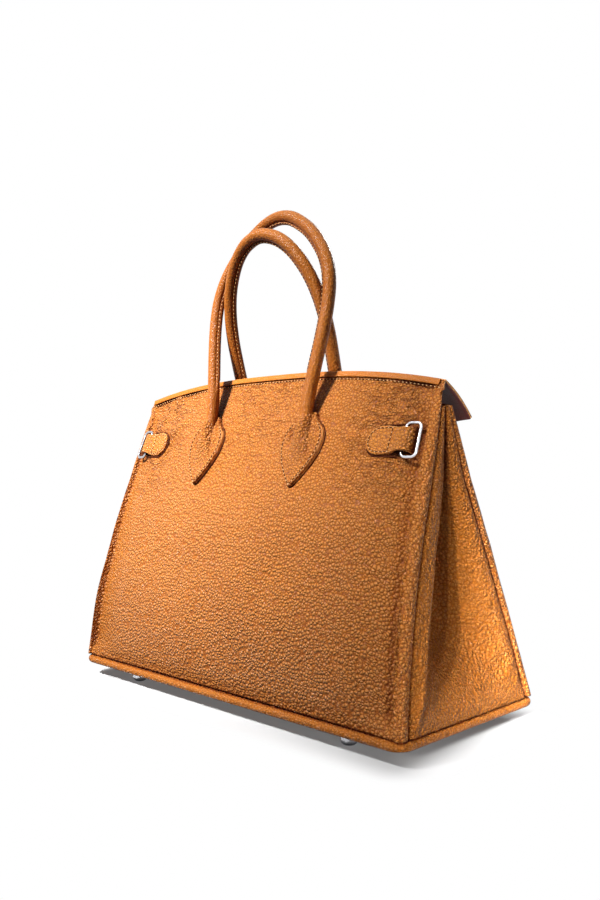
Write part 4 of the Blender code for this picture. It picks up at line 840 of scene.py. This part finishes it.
def sew(name, paths, body, stitch=WALL_STITCH):
    """Rows of stitches along one or more paths of points, on one body, or on none. A stitch is its spacing,
    its length and its thickness."""
    points, edges = [], []
    for path in paths:
        start = len(points)
        points += [tuple(map(float, p)) for p in path]
        edges += [(k, k + 1) for k in range(start, len(points) - 1)]
    mesh = bpy.data.meshes.new(name)
    mesh.from_pydata(points, edges, [])
    row = add_piece(name, mesh)
    awl = row.modifiers.new("stitches", "NODES")
    awl.node_group = STITCHES
    sockets = {item.name: item.identifier for item in STITCHES.interface.items_tree if item.in_out == "INPUT"}
    for label, value in zip(("Spacing", "Length", "Thickness", "Thread", "Groove shade"), (*stitch, THREAD, GROOVE_SHADE)):
        awl[sockets[label]] = value
    made = bpy.data.meshes.new_from_object(row.evaluated_get(bpy.context.evaluated_depsgraph_get()))
    made.name = name
    row.modifiers.clear()
    row.data = made
    made.shade_smooth()
    if body:
        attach(row, body)
    return row


def sweep(name, centres, across, out, sections, materials, ring=False):
    """A closed bar along a path. Each station's section is in its own across and out directions."""
    centres, across, out = (np.asarray(a, float) for a in (centres, across, out))
    sections = np.asarray(sections, float)
    if sections.ndim == 2:
        sections = np.broadcast_to(sections, (len(centres),) + sections.shape)
    loops = centres[:, None] + across[:, None] * sections[..., :1] + out[:, None] * sections[..., 1:]
    return closed_skin(name, loops, materials, ring)


EDGE_SHADOW = 0.00062
ON_WALL = 0.0002


def dark_line(name, path, out, body):
    """A fine dark cord along a path: painted shade in the groove where a sewn piece meets the wall under it."""
    line = sweep(name, path, np.cross(unit(np.gradient(path, axis=0)), out), out, circle(EDGE_SHADOW, 8), (GROOVE_SHADE,))
    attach(line, body)


BINDING_HEIGHT, BINDING_THICKNESS, BINDING_ROUND = 0.0046, 0.0013, 0.00055
BINDING_INSET = 0.0026
BINDING_STITCH_DROP, BINDING_STITCH_LIFT = 0.0011, 0.00012
BINDING_LEATHER = grained_leather("smooth_binding", 0.0013, 0.00020, crease=0.02, pebble_tone_and_painted_light=0.3)
for name, wall in (("back", BACK), ("front", FRONT)):
    half = half_width(wall.height) - BINDING_INSET
    x = np.linspace(-half, half, 220)
    share = 1.0 - 0.5 * BINDING_HEIGHT / wall.height
    middle = wall.point(x, share)
    out = wall.normal(x, share)
    up = unit(np.cross(out, np.gradient(middle, axis=0)))
    up *= np.sign(up[:, 2:3])
    strip = sweep(name + "_top_binding", middle + out * (GAP + BINDING_THICKNESS / 2.0), up, out,
                  rounded_section(BINDING_HEIGHT, BINDING_THICKNESS, BINDING_ROUND, 4), (BINDING_LEATHER,))
    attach(strip, "bag_body")
    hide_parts(name + "_edge_binding")
    level = middle[:, 2] - BINDING_HEIGHT / 2.0 - BINDING_STITCH_DROP
    sew(name + "_top_stitches", [wall.lifted(x, level, BINDING_STITCH_LIFT)], "bag_body")


# The handle tabs: almond pieces of thick calf, glued and sewn to the wall round their edge, with the
# end of the rolled handle spreading into them. The leather creases where the roll flattens.

TUBE_RADIUS = 0.0050
TAB_LENGTH = 0.0464
TAB_HALF_WIDTH = 0.020
TAB_TOP_DROP = 0.0046
HANDLE_SPREAD = 0.0545
TAB_OUTLINE = ((0.0, 0.0), (0.02, 0.10), (0.08, 0.25), (0.2, 0.48), (0.36, 0.74), (0.54, 0.94), (0.70, 1.0),
               (0.83, 0.95), (0.93, 0.80), (1.0, 0.60), (1.06, 0.44), (1.14, 0.36))
TAB_THICKNESS = 0.0030
TAB_EDGE_ROUND = 0.0007
TAB_STITCH, TAB_STITCH_INSET = (0.0032, 0.0021, 0.00080), 0.0024
HINGE_LEVELS = {"back": 0.2185, "front": 0.209}
TAB_LEATHER = grained_leather("creased_tab_calf", 0.0020, 0.00110, crease=0.16, rough=0.27, shine=0.21, pebble_tone_and_painted_light=1.1)


def tab_lift(across, up, side):
    """Height of a tab over the wall, with across in metres from its middle and up in shares."""
    fade = share_of(up, 0.28, 0.94)
    close = eased(up, 0.97, 1.14)
    spread = TUBE_RADIUS * (1.12 - 0.26 * close + 1.5 * (1.0 - min(1.0, fade * 1.15)) ** 1.2)
    round_up = math.sqrt(max(0.0, 1.0 - (across / spread) ** 2))
    shoulder = math.exp(-(across / (spread * 1.25)) ** 2)
    crown = 2.0 * TUBE_RADIUS + 0.0007 - 0.0022 * close
    lift = TAB_THICKNESS + (crown - TAB_THICKNESS) * eased(fade, 0.0, 1.0) * (0.78 * round_up + 0.22 * shoulder)
    down = (0.98 - up) * TAB_LENGTH
    radius = math.hypot(across, down)
    turn = math.atan2(across, down + 0.002)
    window = math.exp(-((radius - 0.017) / 0.011) ** 2) * min(1.0, abs(across) / 0.004)
    window *= eased(abs(across), 0.0165, 0.0120)
    return lift + 0.0014 * fractal(turn * 6.5 + side, radius * 30.0, side * 2.0, 3) * window


def weld(bm):
    bmesh.ops.remove_doubles(bm, verts=bm.verts, dist=0.00002)
    bmesh.ops.dissolve_degenerate(bm, dist=0.000005, edges=bm.edges)


def handle_tab(wall, hinge_level, side, name, node):
    """One tab with its stitches and a dark cord of painted shade round it, its tip below and its top under the roll."""
    tip = hinge_level - TAB_TOP_DROP - TAB_LENGTH
    middle = side * HANDLE_SPREAD
    ups = np.concatenate([np.linspace(0.0, 0.1, 10)[:-1], np.linspace(0.1, TAB_OUTLINE[-1][0], 80)])
    reaches = np.interp(ups, *zip(*TAB_OUTLINE)) * TAB_HALF_WIDTH
    kernel = np.array([1.0, 2.0, 3.0, 2.0, 1.0]) / 9.0
    reaches = np.where(ups > 0.05, np.convolve(np.pad(reaches, 2, mode="edge"), kernel, mode="valid"), reaches)
    columns = np.sin(np.linspace(-1.0, 1.0, 61) * math.pi / 2.0)
    lower, upper = [], []
    for up, reach in zip(ups, reaches):
        across = columns * reach
        level = np.full_like(across, tip + up * TAB_LENGTH)
        from_edge = (1.0 - np.abs(columns)) * reach
        edge = np.sqrt(1.0 - (1.0 - np.clip(from_edge / TAB_EDGE_ROUND, 0.0, 1.0)) ** 2)
        lift = np.array([tab_lift(a, up, side) for a in across]) * edge
        lift -= 0.00035 * np.exp(-((from_edge - TAB_STITCH_INSET) / 0.0006) ** 2)
        lower.append(wall.lifted(middle + across, level, 0.0001))
        upper.append(wall.lifted(middle + across, level, 0.00012 + np.maximum(lift, 0.0)))
    lower, upper = np.array(lower), np.array(upper)
    if wall.side > 0.0:
        lower, upper = lower[:, ::-1], upper[:, ::-1]
    count, width = upper.shape[:2]
    under = count * width
    faces = []
    for r in range(count - 1):
        for c in range(width - 1):
            a = r * width + c
            faces.append((a, a + 1, a + width + 1, a + width))
            faces.append((under + a + width, under + a + width + 1, under + a + 1, under + a))
    grid = np.arange(under).reshape(count, width)
    rim = [int(k) for k in (*grid[0], *grid[1:, -1], *grid[-1, -2::-1], *grid[-2:0:-1, 0])]
    faces += [(under + here, under + after, after, here) for here, after in zip(rim, rim[1:] + rim[:1])]
    mesh = bpy.data.meshes.new(name)
    mesh.from_pydata([tuple(p) for p in np.concatenate([upper.reshape(-1, 3), lower.reshape(-1, 3)])], [], faces)
    mend(mesh, weld, turn_outwards)
    smooth(mesh, 70.0)
    tab = add_piece(name, mesh, TAB_LEATHER, EDGE_PAINT)
    out = wall.normal(np.array(middle), 0.8).reshape(3)
    for face in mesh.polygons:
        up = (face.center.z - tip) / TAB_LENGTH
        at_edge = abs(face.center.x - middle) > float(np.interp(up, ups, reaches)) - 0.0006
        if up < 0.93 and at_edge and abs(float(np.dot(face.normal, out))) < 0.7:
            face.material_index = 1
    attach(tab, "bag_body")
    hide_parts(node)
    rows = []
    ok = (ups > 0.03) & (ups < 0.97)
    for flank in (-1.0, 1.0):
        across = flank * np.maximum(reaches[ok] - TAB_STITCH_INSET, 0.0004)
        lift = np.array([tab_lift(a, up, side) for a, up in zip(across, ups[ok])])
        rows.append(wall.lifted(middle + across, tip + ups[ok] * TAB_LENGTH, lift))
    sew(name + "_stitches", rows, "bag_body", TAB_STITCH)
    # A dark cord of painted shade runs round the tab's edge on the wall.
    around = [(flank, up) for flank, run in ((-1.0, ups[::-1]), (1.0, ups)) for up in run if up < 0.99]
    x = middle + np.array([flank * (np.interp(up, ups, reaches) + ON_WALL) for flank, up in around])
    level = np.array([tip + up * TAB_LENGTH - ON_WALL for _, up in around])
    dark_line(name + "_edge", wall.lifted(x, level, ON_WALL), wall.normal(x, wall.share_at(x, level)), "bag_body")


HINGES = {}
for name, wall in (("back", BACK), ("front", FRONT)):
    level = HINGE_LEVELS[name]
    HINGES[name] = wall.lifted(np.array(HANDLE_SPREAD), level, TUBE_RADIUS + GAP).reshape(3)
    for side, side_name in ((-1.0, "left"), (1.0, "right")):
        handle_tab(wall, level, side, f"{name}_tab_{side_name}", f"{name}_handle_tab_{side_name}")


# The handles: calf rolled round a rope core and closed along the inside of the arch by a stitched welt.
# Each springs from its two tabs.

HANDLE_LEATHER = grained_leather("rolled_handle_calf", 0.0017, 0.00030, crease=0.04, rough=0.25, shine=0.16, pebble_tone_and_painted_light=0.6)
HANDLE_RADIUS = 0.0049
ROLL_TURNS = np.radians(np.linspace(32.0, 328.0, 31))
WELT_TURNS = np.radians(np.linspace(-26.0, 26.0, 9))
WELT_START, WELT_FULL = 0.022, 0.044
HANDLE_STITCH, HANDLE_STITCH_START = (0.0032, 0.0022, 0.00080), 0.040
WELT_SECTION = ((0.0040, -0.0013), (0.0049, -0.00145), (0.0057, -0.00145), (0.0062, -0.0011), (0.0064, 0.0),
                (0.0062, 0.0011), (0.0057, 0.00145), (0.0049, 0.00145), (0.0040, 0.0013))
BACK_SHARES = ((0.845, 0.0), (0.862, 0.10), (0.899, 0.207), (0.946, 0.319), (0.984, 0.430), (1.0, 0.523),
               (0.992, 0.604), (0.946, 0.684), (0.860, 0.759), (0.729, 0.830), (0.581, 0.892),
               (0.403, 0.944), (0.209, 0.985), (0.0, 1.0))
FRONT_SHARES = ((1.0, 0.0), (0.985, 0.136), (0.982, 0.266), (0.991, 0.383), (0.991, 0.487), (0.963, 0.591),
                (0.908, 0.682), (0.829, 0.760), (0.716, 0.834), (0.560, 0.906), (0.367, 0.961),
                (0.174, 0.990), (0.0, 1.0))


def through(points, count):
    """Evenly spread points on a Catmull-Rom curve through the given points."""
    points = np.asarray(points, float)
    ends = np.vstack([2.0 * points[0] - points[1], points, 2.0 * points[-1] - points[-2]])
    fine = []
    for i in range(1, len(ends) - 2):
        for s in np.linspace(0.0, 1.0, 24, endpoint=False):
            a, b, c, d = ends[i - 1:i + 3]
            fine.append(0.5 * (2.0 * b + (c - a) * s + (2.0 * a - 5.0 * b + 4.0 * c - d) * s * s
                               + (3.0 * b - a - 3.0 * c + d) * s ** 3))
    fine = np.vstack([fine, points[-1]])
    marks = np.concatenate([[0.0], np.cumsum(np.linalg.norm(np.diff(fine, axis=0), axis=1))])
    wanted = np.linspace(0.0, marks[-1], count)
    return np.column_stack([np.interp(wanted, marks, fine[:, k]) for k in range(3)])


def handle(name, body, nodes, half, reach, apex, root_lean, shares):
    """One handle: half its width, how far and how high its arch goes, how its roots lean into the tabs, and
    its right half as shares of those sizes."""
    hinge = HINGES[name]
    right = [(a * half, hinge[1] + u * reach, hinge[2] + u * (apex - hinge[2])) for a, u in shares]
    left = [(-x, y, z) for x, y, z in reversed(right[:-1])]
    path = through(right + left, 241)
    root_step = unit(np.array([0.0, root_lean, -1.0]))
    roots = [path[0] + root_step * d for d in (0.008, 0.006, 0.004, 0.002)]
    path = np.vstack([roots, path, [p * (-1.0, 1.0, 1.0) for p in reversed(roots)]])
    flat = np.broadcast_to(unit(np.array([0.0, hinge[2] - apex, reach])), path.shape)
    inward = unit(np.cross(flat, unit(np.gradient(path, axis=0))))
    centre = np.array([0.0, hinge[1] + 0.5 * reach, hinge[2] + 0.5 * (apex - hinge[2])])
    inward *= np.sign(np.sum((centre - path) * inward, axis=1, keepdims=True))
    marks = np.concatenate([[0.0], np.cumsum(np.linalg.norm(np.diff(path, axis=0), axis=1))])
    from_end = np.minimum(marks, marks[-1] - marks)
    sections = []
    for mark, gone in zip(marks, from_end):
        welt = eased(gone, WELT_START, WELT_FULL)
        radius = HANDLE_RADIUS * (1.0 + 0.014 * fractal(mark * 30.0, 0.0, hinge[1] * 9.0))
        loop = [(radius * math.cos(turn) - 0.0004 * welt, radius * math.sin(turn)) for turn in ROLL_TURNS]
        loop += [between((radius * math.cos(turn), radius * math.sin(turn)), flange, welt)
                 for turn, flange in zip(WELT_TURNS, WELT_SECTION)]
        sections.append(loop)
    piece = sweep(name + "_handle_roll", path, inward, flat, sections, (HANDLE_LEATHER,))
    # Painted shade: the roll is darkest on its welt, on the inner side of the arch, and lightest on the outer side.
    inner_side_shade_share = np.concatenate([0.12 + 0.70 * (0.5 + 0.5 * np.cos(ROLL_TURNS)) ** 1.3, np.full(len(WELT_TURNS), 0.80)])
    point_values(piece.data, "inner_side_shade", np.tile(inner_side_shade_share, len(path)))
    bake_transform(piece)
    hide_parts(*nodes)
    ok = from_end > HANDLE_STITCH_START
    rows = [path[ok] + inward[ok] * 0.0055 + flat[ok] * 0.00148 * face for face in (-1.0, 1.0)]
    sew(name + "_handle_stitches", rows, body, HANDLE_STITCH)


handle("back", "rear_handle_group", ("back_handle", "back_handle_core"), half=0.0636, reach=0.0250, apex=0.380,
       root_lean=-0.22, shares=BACK_SHARES)
handle("front", "front_handle_group", ("front_handle", "front_handle_core"), half=HANDLE_SPREAD, reach=-0.0400,
       apex=0.362, root_lean=0.26, shares=FRONT_SHARES)


# The side rings: bent steel wire, polished, lying flat on the back with the inner bar held under the
# strap. They swing out from the wall on that bar.

RING_WIDTH, RING_HEIGHT, RING_WIRE, RING_CORNER = 0.0140, 0.0270, 0.0013, 0.0036
RING_X = STRAP_SINK - GAP
RING_LIFT = RING_WIRE + GAP
RING_BAR = RING_X - RING_WIDTH / 2.0 + RING_WIRE
RING_STEP = 0.001


def plate_frame(wall, x, level, lift):
    """Origin and axes of a flat piece on a wall: along, up the wall, and out of it."""
    share = wall.share_at(x, level)
    out = wall.normal(x, share).reshape(3)
    along = unit(np.cross((0.0, 0.0, 1.0), out))
    return wall.point(x, share).reshape(3) + out * lift, along, np.cross(out, along), out


for side, name in ((-1.0, "left"), (1.0, "right")):
    place, along, up, out = plate_frame(BACK, side * RING_X, STRAP_LEVEL, RING_LIFT)
    outline = divided(rounded_section(RING_WIDTH - 2.0 * RING_WIRE, RING_HEIGHT - 2.0 * RING_WIRE, RING_CORNER, 12),
                      lambda reach: max(1, int(reach / RING_STEP)))
    path = np.array([place + along * x + up * y for x, y in outline])
    ahead = unit(np.roll(path, -1, axis=0) - np.roll(path, 1, axis=0))
    outs = np.broadcast_to(out, path.shape)
    ring = sweep("wire_ring_" + name, path, np.cross(ahead, outs), outs, circle(RING_WIRE * 0.88, 16),
                 (BRIGHT_STEEL,), ring=True)
    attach(ring, name + "_ring_group")
    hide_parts("ring_" + name)


# The side straps: two layers of calf sewn together, painted on the edge. The round end is sewn to the
# back, the strap passes over the ring's bar, dives through slots in the walls and runs to the turnlock.

STRAP_THICKNESS, STRAP_WIDTH, STRAP_FRONT_WIDTH = 0.002, 0.0212, 0.017
STRAP_FRONT_LEVEL, LOCK_LEVEL = 0.198, 0.174
STRAP_END = 0.1132
STRAP_OVER_BAR = RING_LIFT + RING_WIRE + 2.0 * GAP + STRAP_THICKNESS / 2.0
STRAP_REST = GAP + STRAP_THICKNESS / 2.0
STRAP_LEAST_WIDTH, STRAP_ROUND = 0.0009, 0.0007
STRAP_STITCH, STRAP_STITCH_INSET = (0.0031, 0.0020, 0.00085), 0.0019
STRAP_CROSS_SEAMS = (0.1325, 0.1352)
STRAP_FRONT_START = 0.139
PLATE_THICKNESS = 0.0012
# The strap's colour is the wall tan made paler: a painted highlight for the sheen the strap catches.
STRAP_LEATHER = grained_leather("strap_calf", 0.0021, 0.00105, crease=0.04, rough=0.26, shine=0.22,
                                leather_colour=(0.66, 0.215, 0.024))


def strap_path(end_rise):
    """Places along one strap and its lift off each wall: on the back from the round end over the ring's bar
    to the slot, and on the front from the slot over the handle tab to the turnlock."""
    over, rest, at_lock = STRAP_OVER_BAR, STRAP_REST, STRAP_REST + end_rise
    end_radius, drop, bend = STRAP_WIDTH / 2.0, STRAP_SINK - RING_BAR, 2.0 * STRAP_THICKNESS
    foot = RING_BAR - 2.2 * over
    back = [(STRAP_END + share * end_radius, rest) for share in (0.0, 0.02, 0.06, 0.12, 0.2, 0.35, 0.6, 1.0)]
    back += [((STRAP_END + end_radius + foot) / 2.0, rest), (foot, rest)]
    back += [(foot + share * (RING_BAR - foot), rest + lift_share * (over - rest)) for share, lift_share in
             ((0.18, 0.07), (0.35, 0.3), (0.5, 0.55), (0.66, 0.78), (0.85, 0.95), (1.0, 1.0))]
    back += [(RING_BAR + drop * math.sin(turn), over - drop * (1.0 - math.cos(turn)))
             for turn in np.radians((15.0, 30.0, 45.0, 60.0, 72.0, 85.0))]
    back.append((STRAP_SINK, -STRAP_THICKNESS))
    front = [(STRAP_SINK, -STRAP_THICKNESS)]
    front += [(STRAP_SINK - bend * (1.0 - math.cos(turn)), rest / 2.0 - bend / 2.0 + bend * math.sin(turn))
              for turn in np.radians((10.0, 25.0, 40.0, 55.0, 70.0, 85.0, 100.0))]
    tab_out, tab_in = HANDLE_SPREAD + TAB_HALF_WIDTH, HANDLE_SPREAD - TAB_HALF_WIDTH
    over_tab = rest + 0.003 + 0.0017
    climb = [(share, eased(share, 0.0, 1.0)) for share in np.linspace(0.0, 1.0, 8)]
    front += [(x, rest) for x in np.linspace(0.140, tab_out + 0.012, 12)]
    front += [(tab_out + 0.008 - 0.0096 * share, rest + (over_tab - rest) * ease) for share, ease in climb]
    front += [(x, over_tab + 0.0008 * math.cos((x - HANDLE_SPREAD) / 0.02 * 1.4))
              for x in np.linspace(tab_out - 0.004, tab_in + 0.004, 8)]
    front += [(tab_in + 0.0012 - 0.0092 * share, over_tab + (at_lock - over_tab) * ease) for share, ease in climb]
    front += [(x, at_lock) for x in (0.0230, 0.0160)]
    return back, front


def back_reach(x):
    """Half the strap's width on the back: the round end, the full width, and narrower from the bar on."""
    near = max(0.0, STRAP_WIDTH / 2.0 - (x - STRAP_END))
    round_reach = math.sqrt(max(0.0, (STRAP_WIDTH / 2.0) ** 2 - near * near))
    ease = share_of(x, RING_BAR - 0.012, RING_BAR - 0.004)
    return min(round_reach, STRAP_WIDTH / 2.0 + (STRAP_FRONT_WIDTH - STRAP_WIDTH) / 2.0 * ease)


def front_level(x):
    return LOCK_LEVEL + (STRAP_FRONT_LEVEL - LOCK_LEVEL) * x / STRAP_SINK


def round_the_end(start, radius, steps):
    """Places along and across the strap's round end, from one long side round to the other."""
    middle = STRAP_END + STRAP_WIDTH / 2.0
    turns = np.linspace(math.pi / 2.0, 1.5 * math.pi, 30)
    flank = np.full(steps - 1, radius)
    along = [np.linspace(start, middle, steps)[:-1], middle + radius * np.cos(turns),
             np.linspace(middle, start, steps)[1:]]
    return np.concatenate(along), np.concatenate([flank, radius * np.sin(turns), -flank])


for side, name, end_rise in ((-1.0, "left", 0.0), (1.0, "right", PLATE_THICKNESS + GAP)):
    back, front = strap_path(end_rise)
    stations = [(BACK, x, lift, back_reach(x), STRAP_LEVEL) for x, lift in back]
    stations += [(FRONT, x, lift, STRAP_FRONT_WIDTH / 2.0, front_level(x)) for x, lift in front]
    centres, ups, sections = [], [], []
    for wall, x, lift, reach, level in stations:
        low, high = (wall.lifted(side * x, level + rise, lift).reshape(3) for rise in (-0.002, 0.002))
        centres.append((low + high) / 2.0)
        ups.append(unit(high - low))
        width = max(2.0 * reach, STRAP_LEAST_WIDTH)
        sections.append(rounded_section(width, STRAP_THICKNESS, min(STRAP_ROUND, width / 2.1), 5))
    centres, ups = np.array(centres), np.array(ups)
    outs = unit(np.cross(ups, unit(np.gradient(centres, axis=0))) * side)
    strap = sweep("side_strap_" + name, centres, ups, outs, sections, (STRAP_LEATHER, EDGE_PAINT))
    for face in strap.data.polygons:
        if abs(face.normal.z) > 0.72:
            face.material_index = 1
    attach(strap, "bag_body")
    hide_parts("strap_" + name)
    top = STRAP_REST + STRAP_THICKNESS / 2.0
    radius = STRAP_WIDTH / 2.0 - STRAP_STITCH_INSET
    xs, zs = round_the_end(STRAP_CROSS_SEAMS[0], radius, 12)
    rows = [BACK.lifted(side * xs, STRAP_LEVEL + zs * 0.93, top)]
    rows += [BACK.lifted(np.full(8, side * x), STRAP_LEVEL + np.linspace(radius, -radius, 8) * 0.93, top)
             for x in STRAP_CROSS_SEAMS]
    sew("strap_end_stitches_" + name, rows, "bag_body", STRAP_STITCH)
    # A dark cord of painted shade runs round the strap's end on the back.
    xs, zs = round_the_end(RING_BAR - 0.004, STRAP_WIDTH / 2.0 + ON_WALL, 14)
    level = STRAP_LEVEL + zs * 0.985
    dark_line("strap_end_edge_" + name, BACK.lifted(side * xs, level, ON_WALL),
              BACK.normal(side * xs, BACK.share_at(side * xs, level)), "bag_body")
    xs = np.linspace(STRAP_FRONT_START, HANDLE_SPREAD + TAB_HALF_WIDTH + 0.012, 60)
    rows = [FRONT.lifted(side * xs, front_level(xs) + edge * (STRAP_FRONT_WIDTH / 2.0 - STRAP_STITCH_INSET), top)
            for edge in (-1.0, 1.0)]
    sew("strap_run_stitches_" + name, rows, "bag_body", STRAP_STITCH)


# The flap: calf lined with goat, folded forward over the mouth from the top edge in three lobes, with
# deep notches for the front handle. A slotted steel plate on the middle lobe fits over the turnlock.

ROOT_ANGLE, TIP_ANGLE = math.radians(25.0), math.radians(74.0)
FLAP_ROOT = BACK.point(0.0, 1.0)
FLAP_AXIS = (0.0, float(FLAP_ROOT[1]) + LEATHER + GAP + LEATHER * math.sin(ROOT_ANGLE), float(FLAP_ROOT[2]) + GAP)
FLAP_MIDDLE, FLAP_SIDE, FLAP_END = 0.100, 0.078, 0.041
NOTCH_DEPTH, NOTCH_INNER, NOTCH_OUTER, FLAP_CORNER = 0.002, 0.0405, 0.0685, 0.014
FLAP_MARGIN, FLAP_ROWS = 0.0005, 56
FLAP_STITCH_INSET, FLAP_STITCH_START = 0.003, 0.008
SLACK = 1e-6
FLAP_LEATHER = grained_leather("flap_calf", 0.0022, 0.00090)


def hang_on_fold(piece):
    """Bakes the piece's placement into its mesh."""
    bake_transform(piece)


def flap_length(x):
    """Length of the flap from its fold to its lower edge, with the lobes' corners rounded."""
    away = abs(x)
    if NOTCH_INNER < away < NOTCH_OUTER:
        return NOTCH_DEPTH
    if away <= NOTCH_INNER:
        length, near = FLAP_MIDDLE, away - (NOTCH_INNER - FLAP_CORNER)
    else:
        share = (away - NOTCH_OUTER) / (half_width(BACK_HEIGHT) - NOTCH_OUTER)
        length, near = FLAP_SIDE + (FLAP_END - FLAP_SIDE) * share, NOTCH_OUTER + FLAP_CORNER - away
    return length - FLAP_CORNER + math.sqrt(max(0.0, FLAP_CORNER ** 2 - max(0.0, near) ** 2))


def flap_point(x, length):
    """A point on the flap's outer side: it curves forward and down, narrows a little and waves."""
    bend = (TIP_ANGLE - ROOT_ANGLE) / FLAP_MIDDLE
    forward = (math.sin(ROOT_ANGLE + bend * length) - math.sin(ROOT_ANGLE)) / bend
    drop = (math.cos(ROOT_ANGLE) - math.cos(ROOT_ANGLE + bend * length)) / bend
    taper = 1.0 - 0.03 * length / FLAP_MIDDLE
    top = float(BACK.point(x, 1.0)[2]) + GAP
    free = max(0.0, (length - 0.006) / FLAP_MIDDLE)
    wave = 0.0016 * fractal(x * 22.0, length * 20.0, 7.0, 2) * free * (1.0 - 0.7 * math.exp(-(x / 0.03) ** 2))
    return (x * taper, FLAP_AXIS[1] + forward + 0.4 * wave, top - drop + wave)


half = half_width(BACK_HEIGHT) - FLAP_MARGIN
quarter = math.pi / 2.0
right = [NOTCH_INNER * math.sin(k / 16.0 * quarter) for k in range(17)]
right += [NOTCH_INNER + (NOTCH_OUTER - NOTCH_INNER) * k / 6.0 for k in range(1, 6)]
right += [NOTCH_OUTER + FLAP_CORNER * (1.0 - math.cos(k / 12.0 * quarter)) for k in range(12)]
right += list(np.linspace(NOTCH_OUTER + FLAP_CORNER, half, 30))
flap_columns = right[::-1] + [-x for x in right[1:]]
in_notch = [NOTCH_INNER - SLACK < abs(a + b) / 2.0 < NOTCH_OUTER + SLACK
            for a, b in zip(flap_columns, flap_columns[1:])]
flap_rows = [[flap_point(x, NOTCH_DEPTH + max(0.0, flap_length(x) - NOTCH_DEPTH) * k / FLAP_ROWS)
              for x in flap_columns] for k in range(FLAP_ROWS, -1, -1)]
flap_grid = np.array(flap_rows)
flap_rows += [[flap_point(x, length) for x in flap_columns] for length in (NOTCH_DEPTH / 2.0, 0.0)]
flap = grid_piece("flap_calf", flap_rows, LEATHER, (FLAP_LEATHER, EDGE_PAINT),
                  lambda r, c: r >= FLAP_ROWS or not in_notch[c])
hang_on_fold(flap)
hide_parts("flap")
stitch_rows = []
for name, low, high in (("left", -half, -NOTCH_OUTER), ("middle", -NOTCH_INNER, NOTCH_INNER),
                        ("right", NOTCH_OUTER, half)):
    pick = [k for k, x in enumerate(flap_columns) if low - SLACK <= x <= high + SLACK]
    piece = grid_piece("flap_goat_" + name, sunk(flap_grid[:, pick], LEATHER + GAP * 0.3), LINING, (GOAT,))
    hang_on_fold(piece)
    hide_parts("flap_lining_" + name)
    xs = np.array([flap_columns[k] for k in pick[::-1]])
    centre, reach = (xs[0] + xs[-1]) / 2.0, (xs[-1] - xs[0]) / 2.0
    inner = centre + (xs - centre) * (reach - FLAP_STITCH_INSET) / reach
    run = [(x, flap_length(from_x) - FLAP_STITCH_INSET) for x, from_x in zip(inner, xs)]
    first, last = ([(x, s) for s in np.linspace(FLAP_STITCH_START, max(0.01, length), 20)]
                   for x, length in (run[0], run[-1]))
    path = np.array([flap_point(x, s) for x, s in first + run + last[::-1]])
    stitch_rows.append(path + np.array([0.0, 0.0002, 0.0003]))
hang_on_fold(sew("flap_stitches", stitch_rows, None))


# The metal and the board that keep their CAD form: turnlock, strap plates, flap plate, washers and the
# stiffening board under the floor lining.

BOARD = mottled("fibre_board", 700.0, (0.20, 0.13, 0.08), (0.34, 0.25, 0.16), rough=0.85)
for node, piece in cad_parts.items():
    if piece.hide_render:
        continue
    piece.data.materials.clear()
    piece.data.materials.append(BOARD if node == "base_board" else BRIGHT_STEEL)
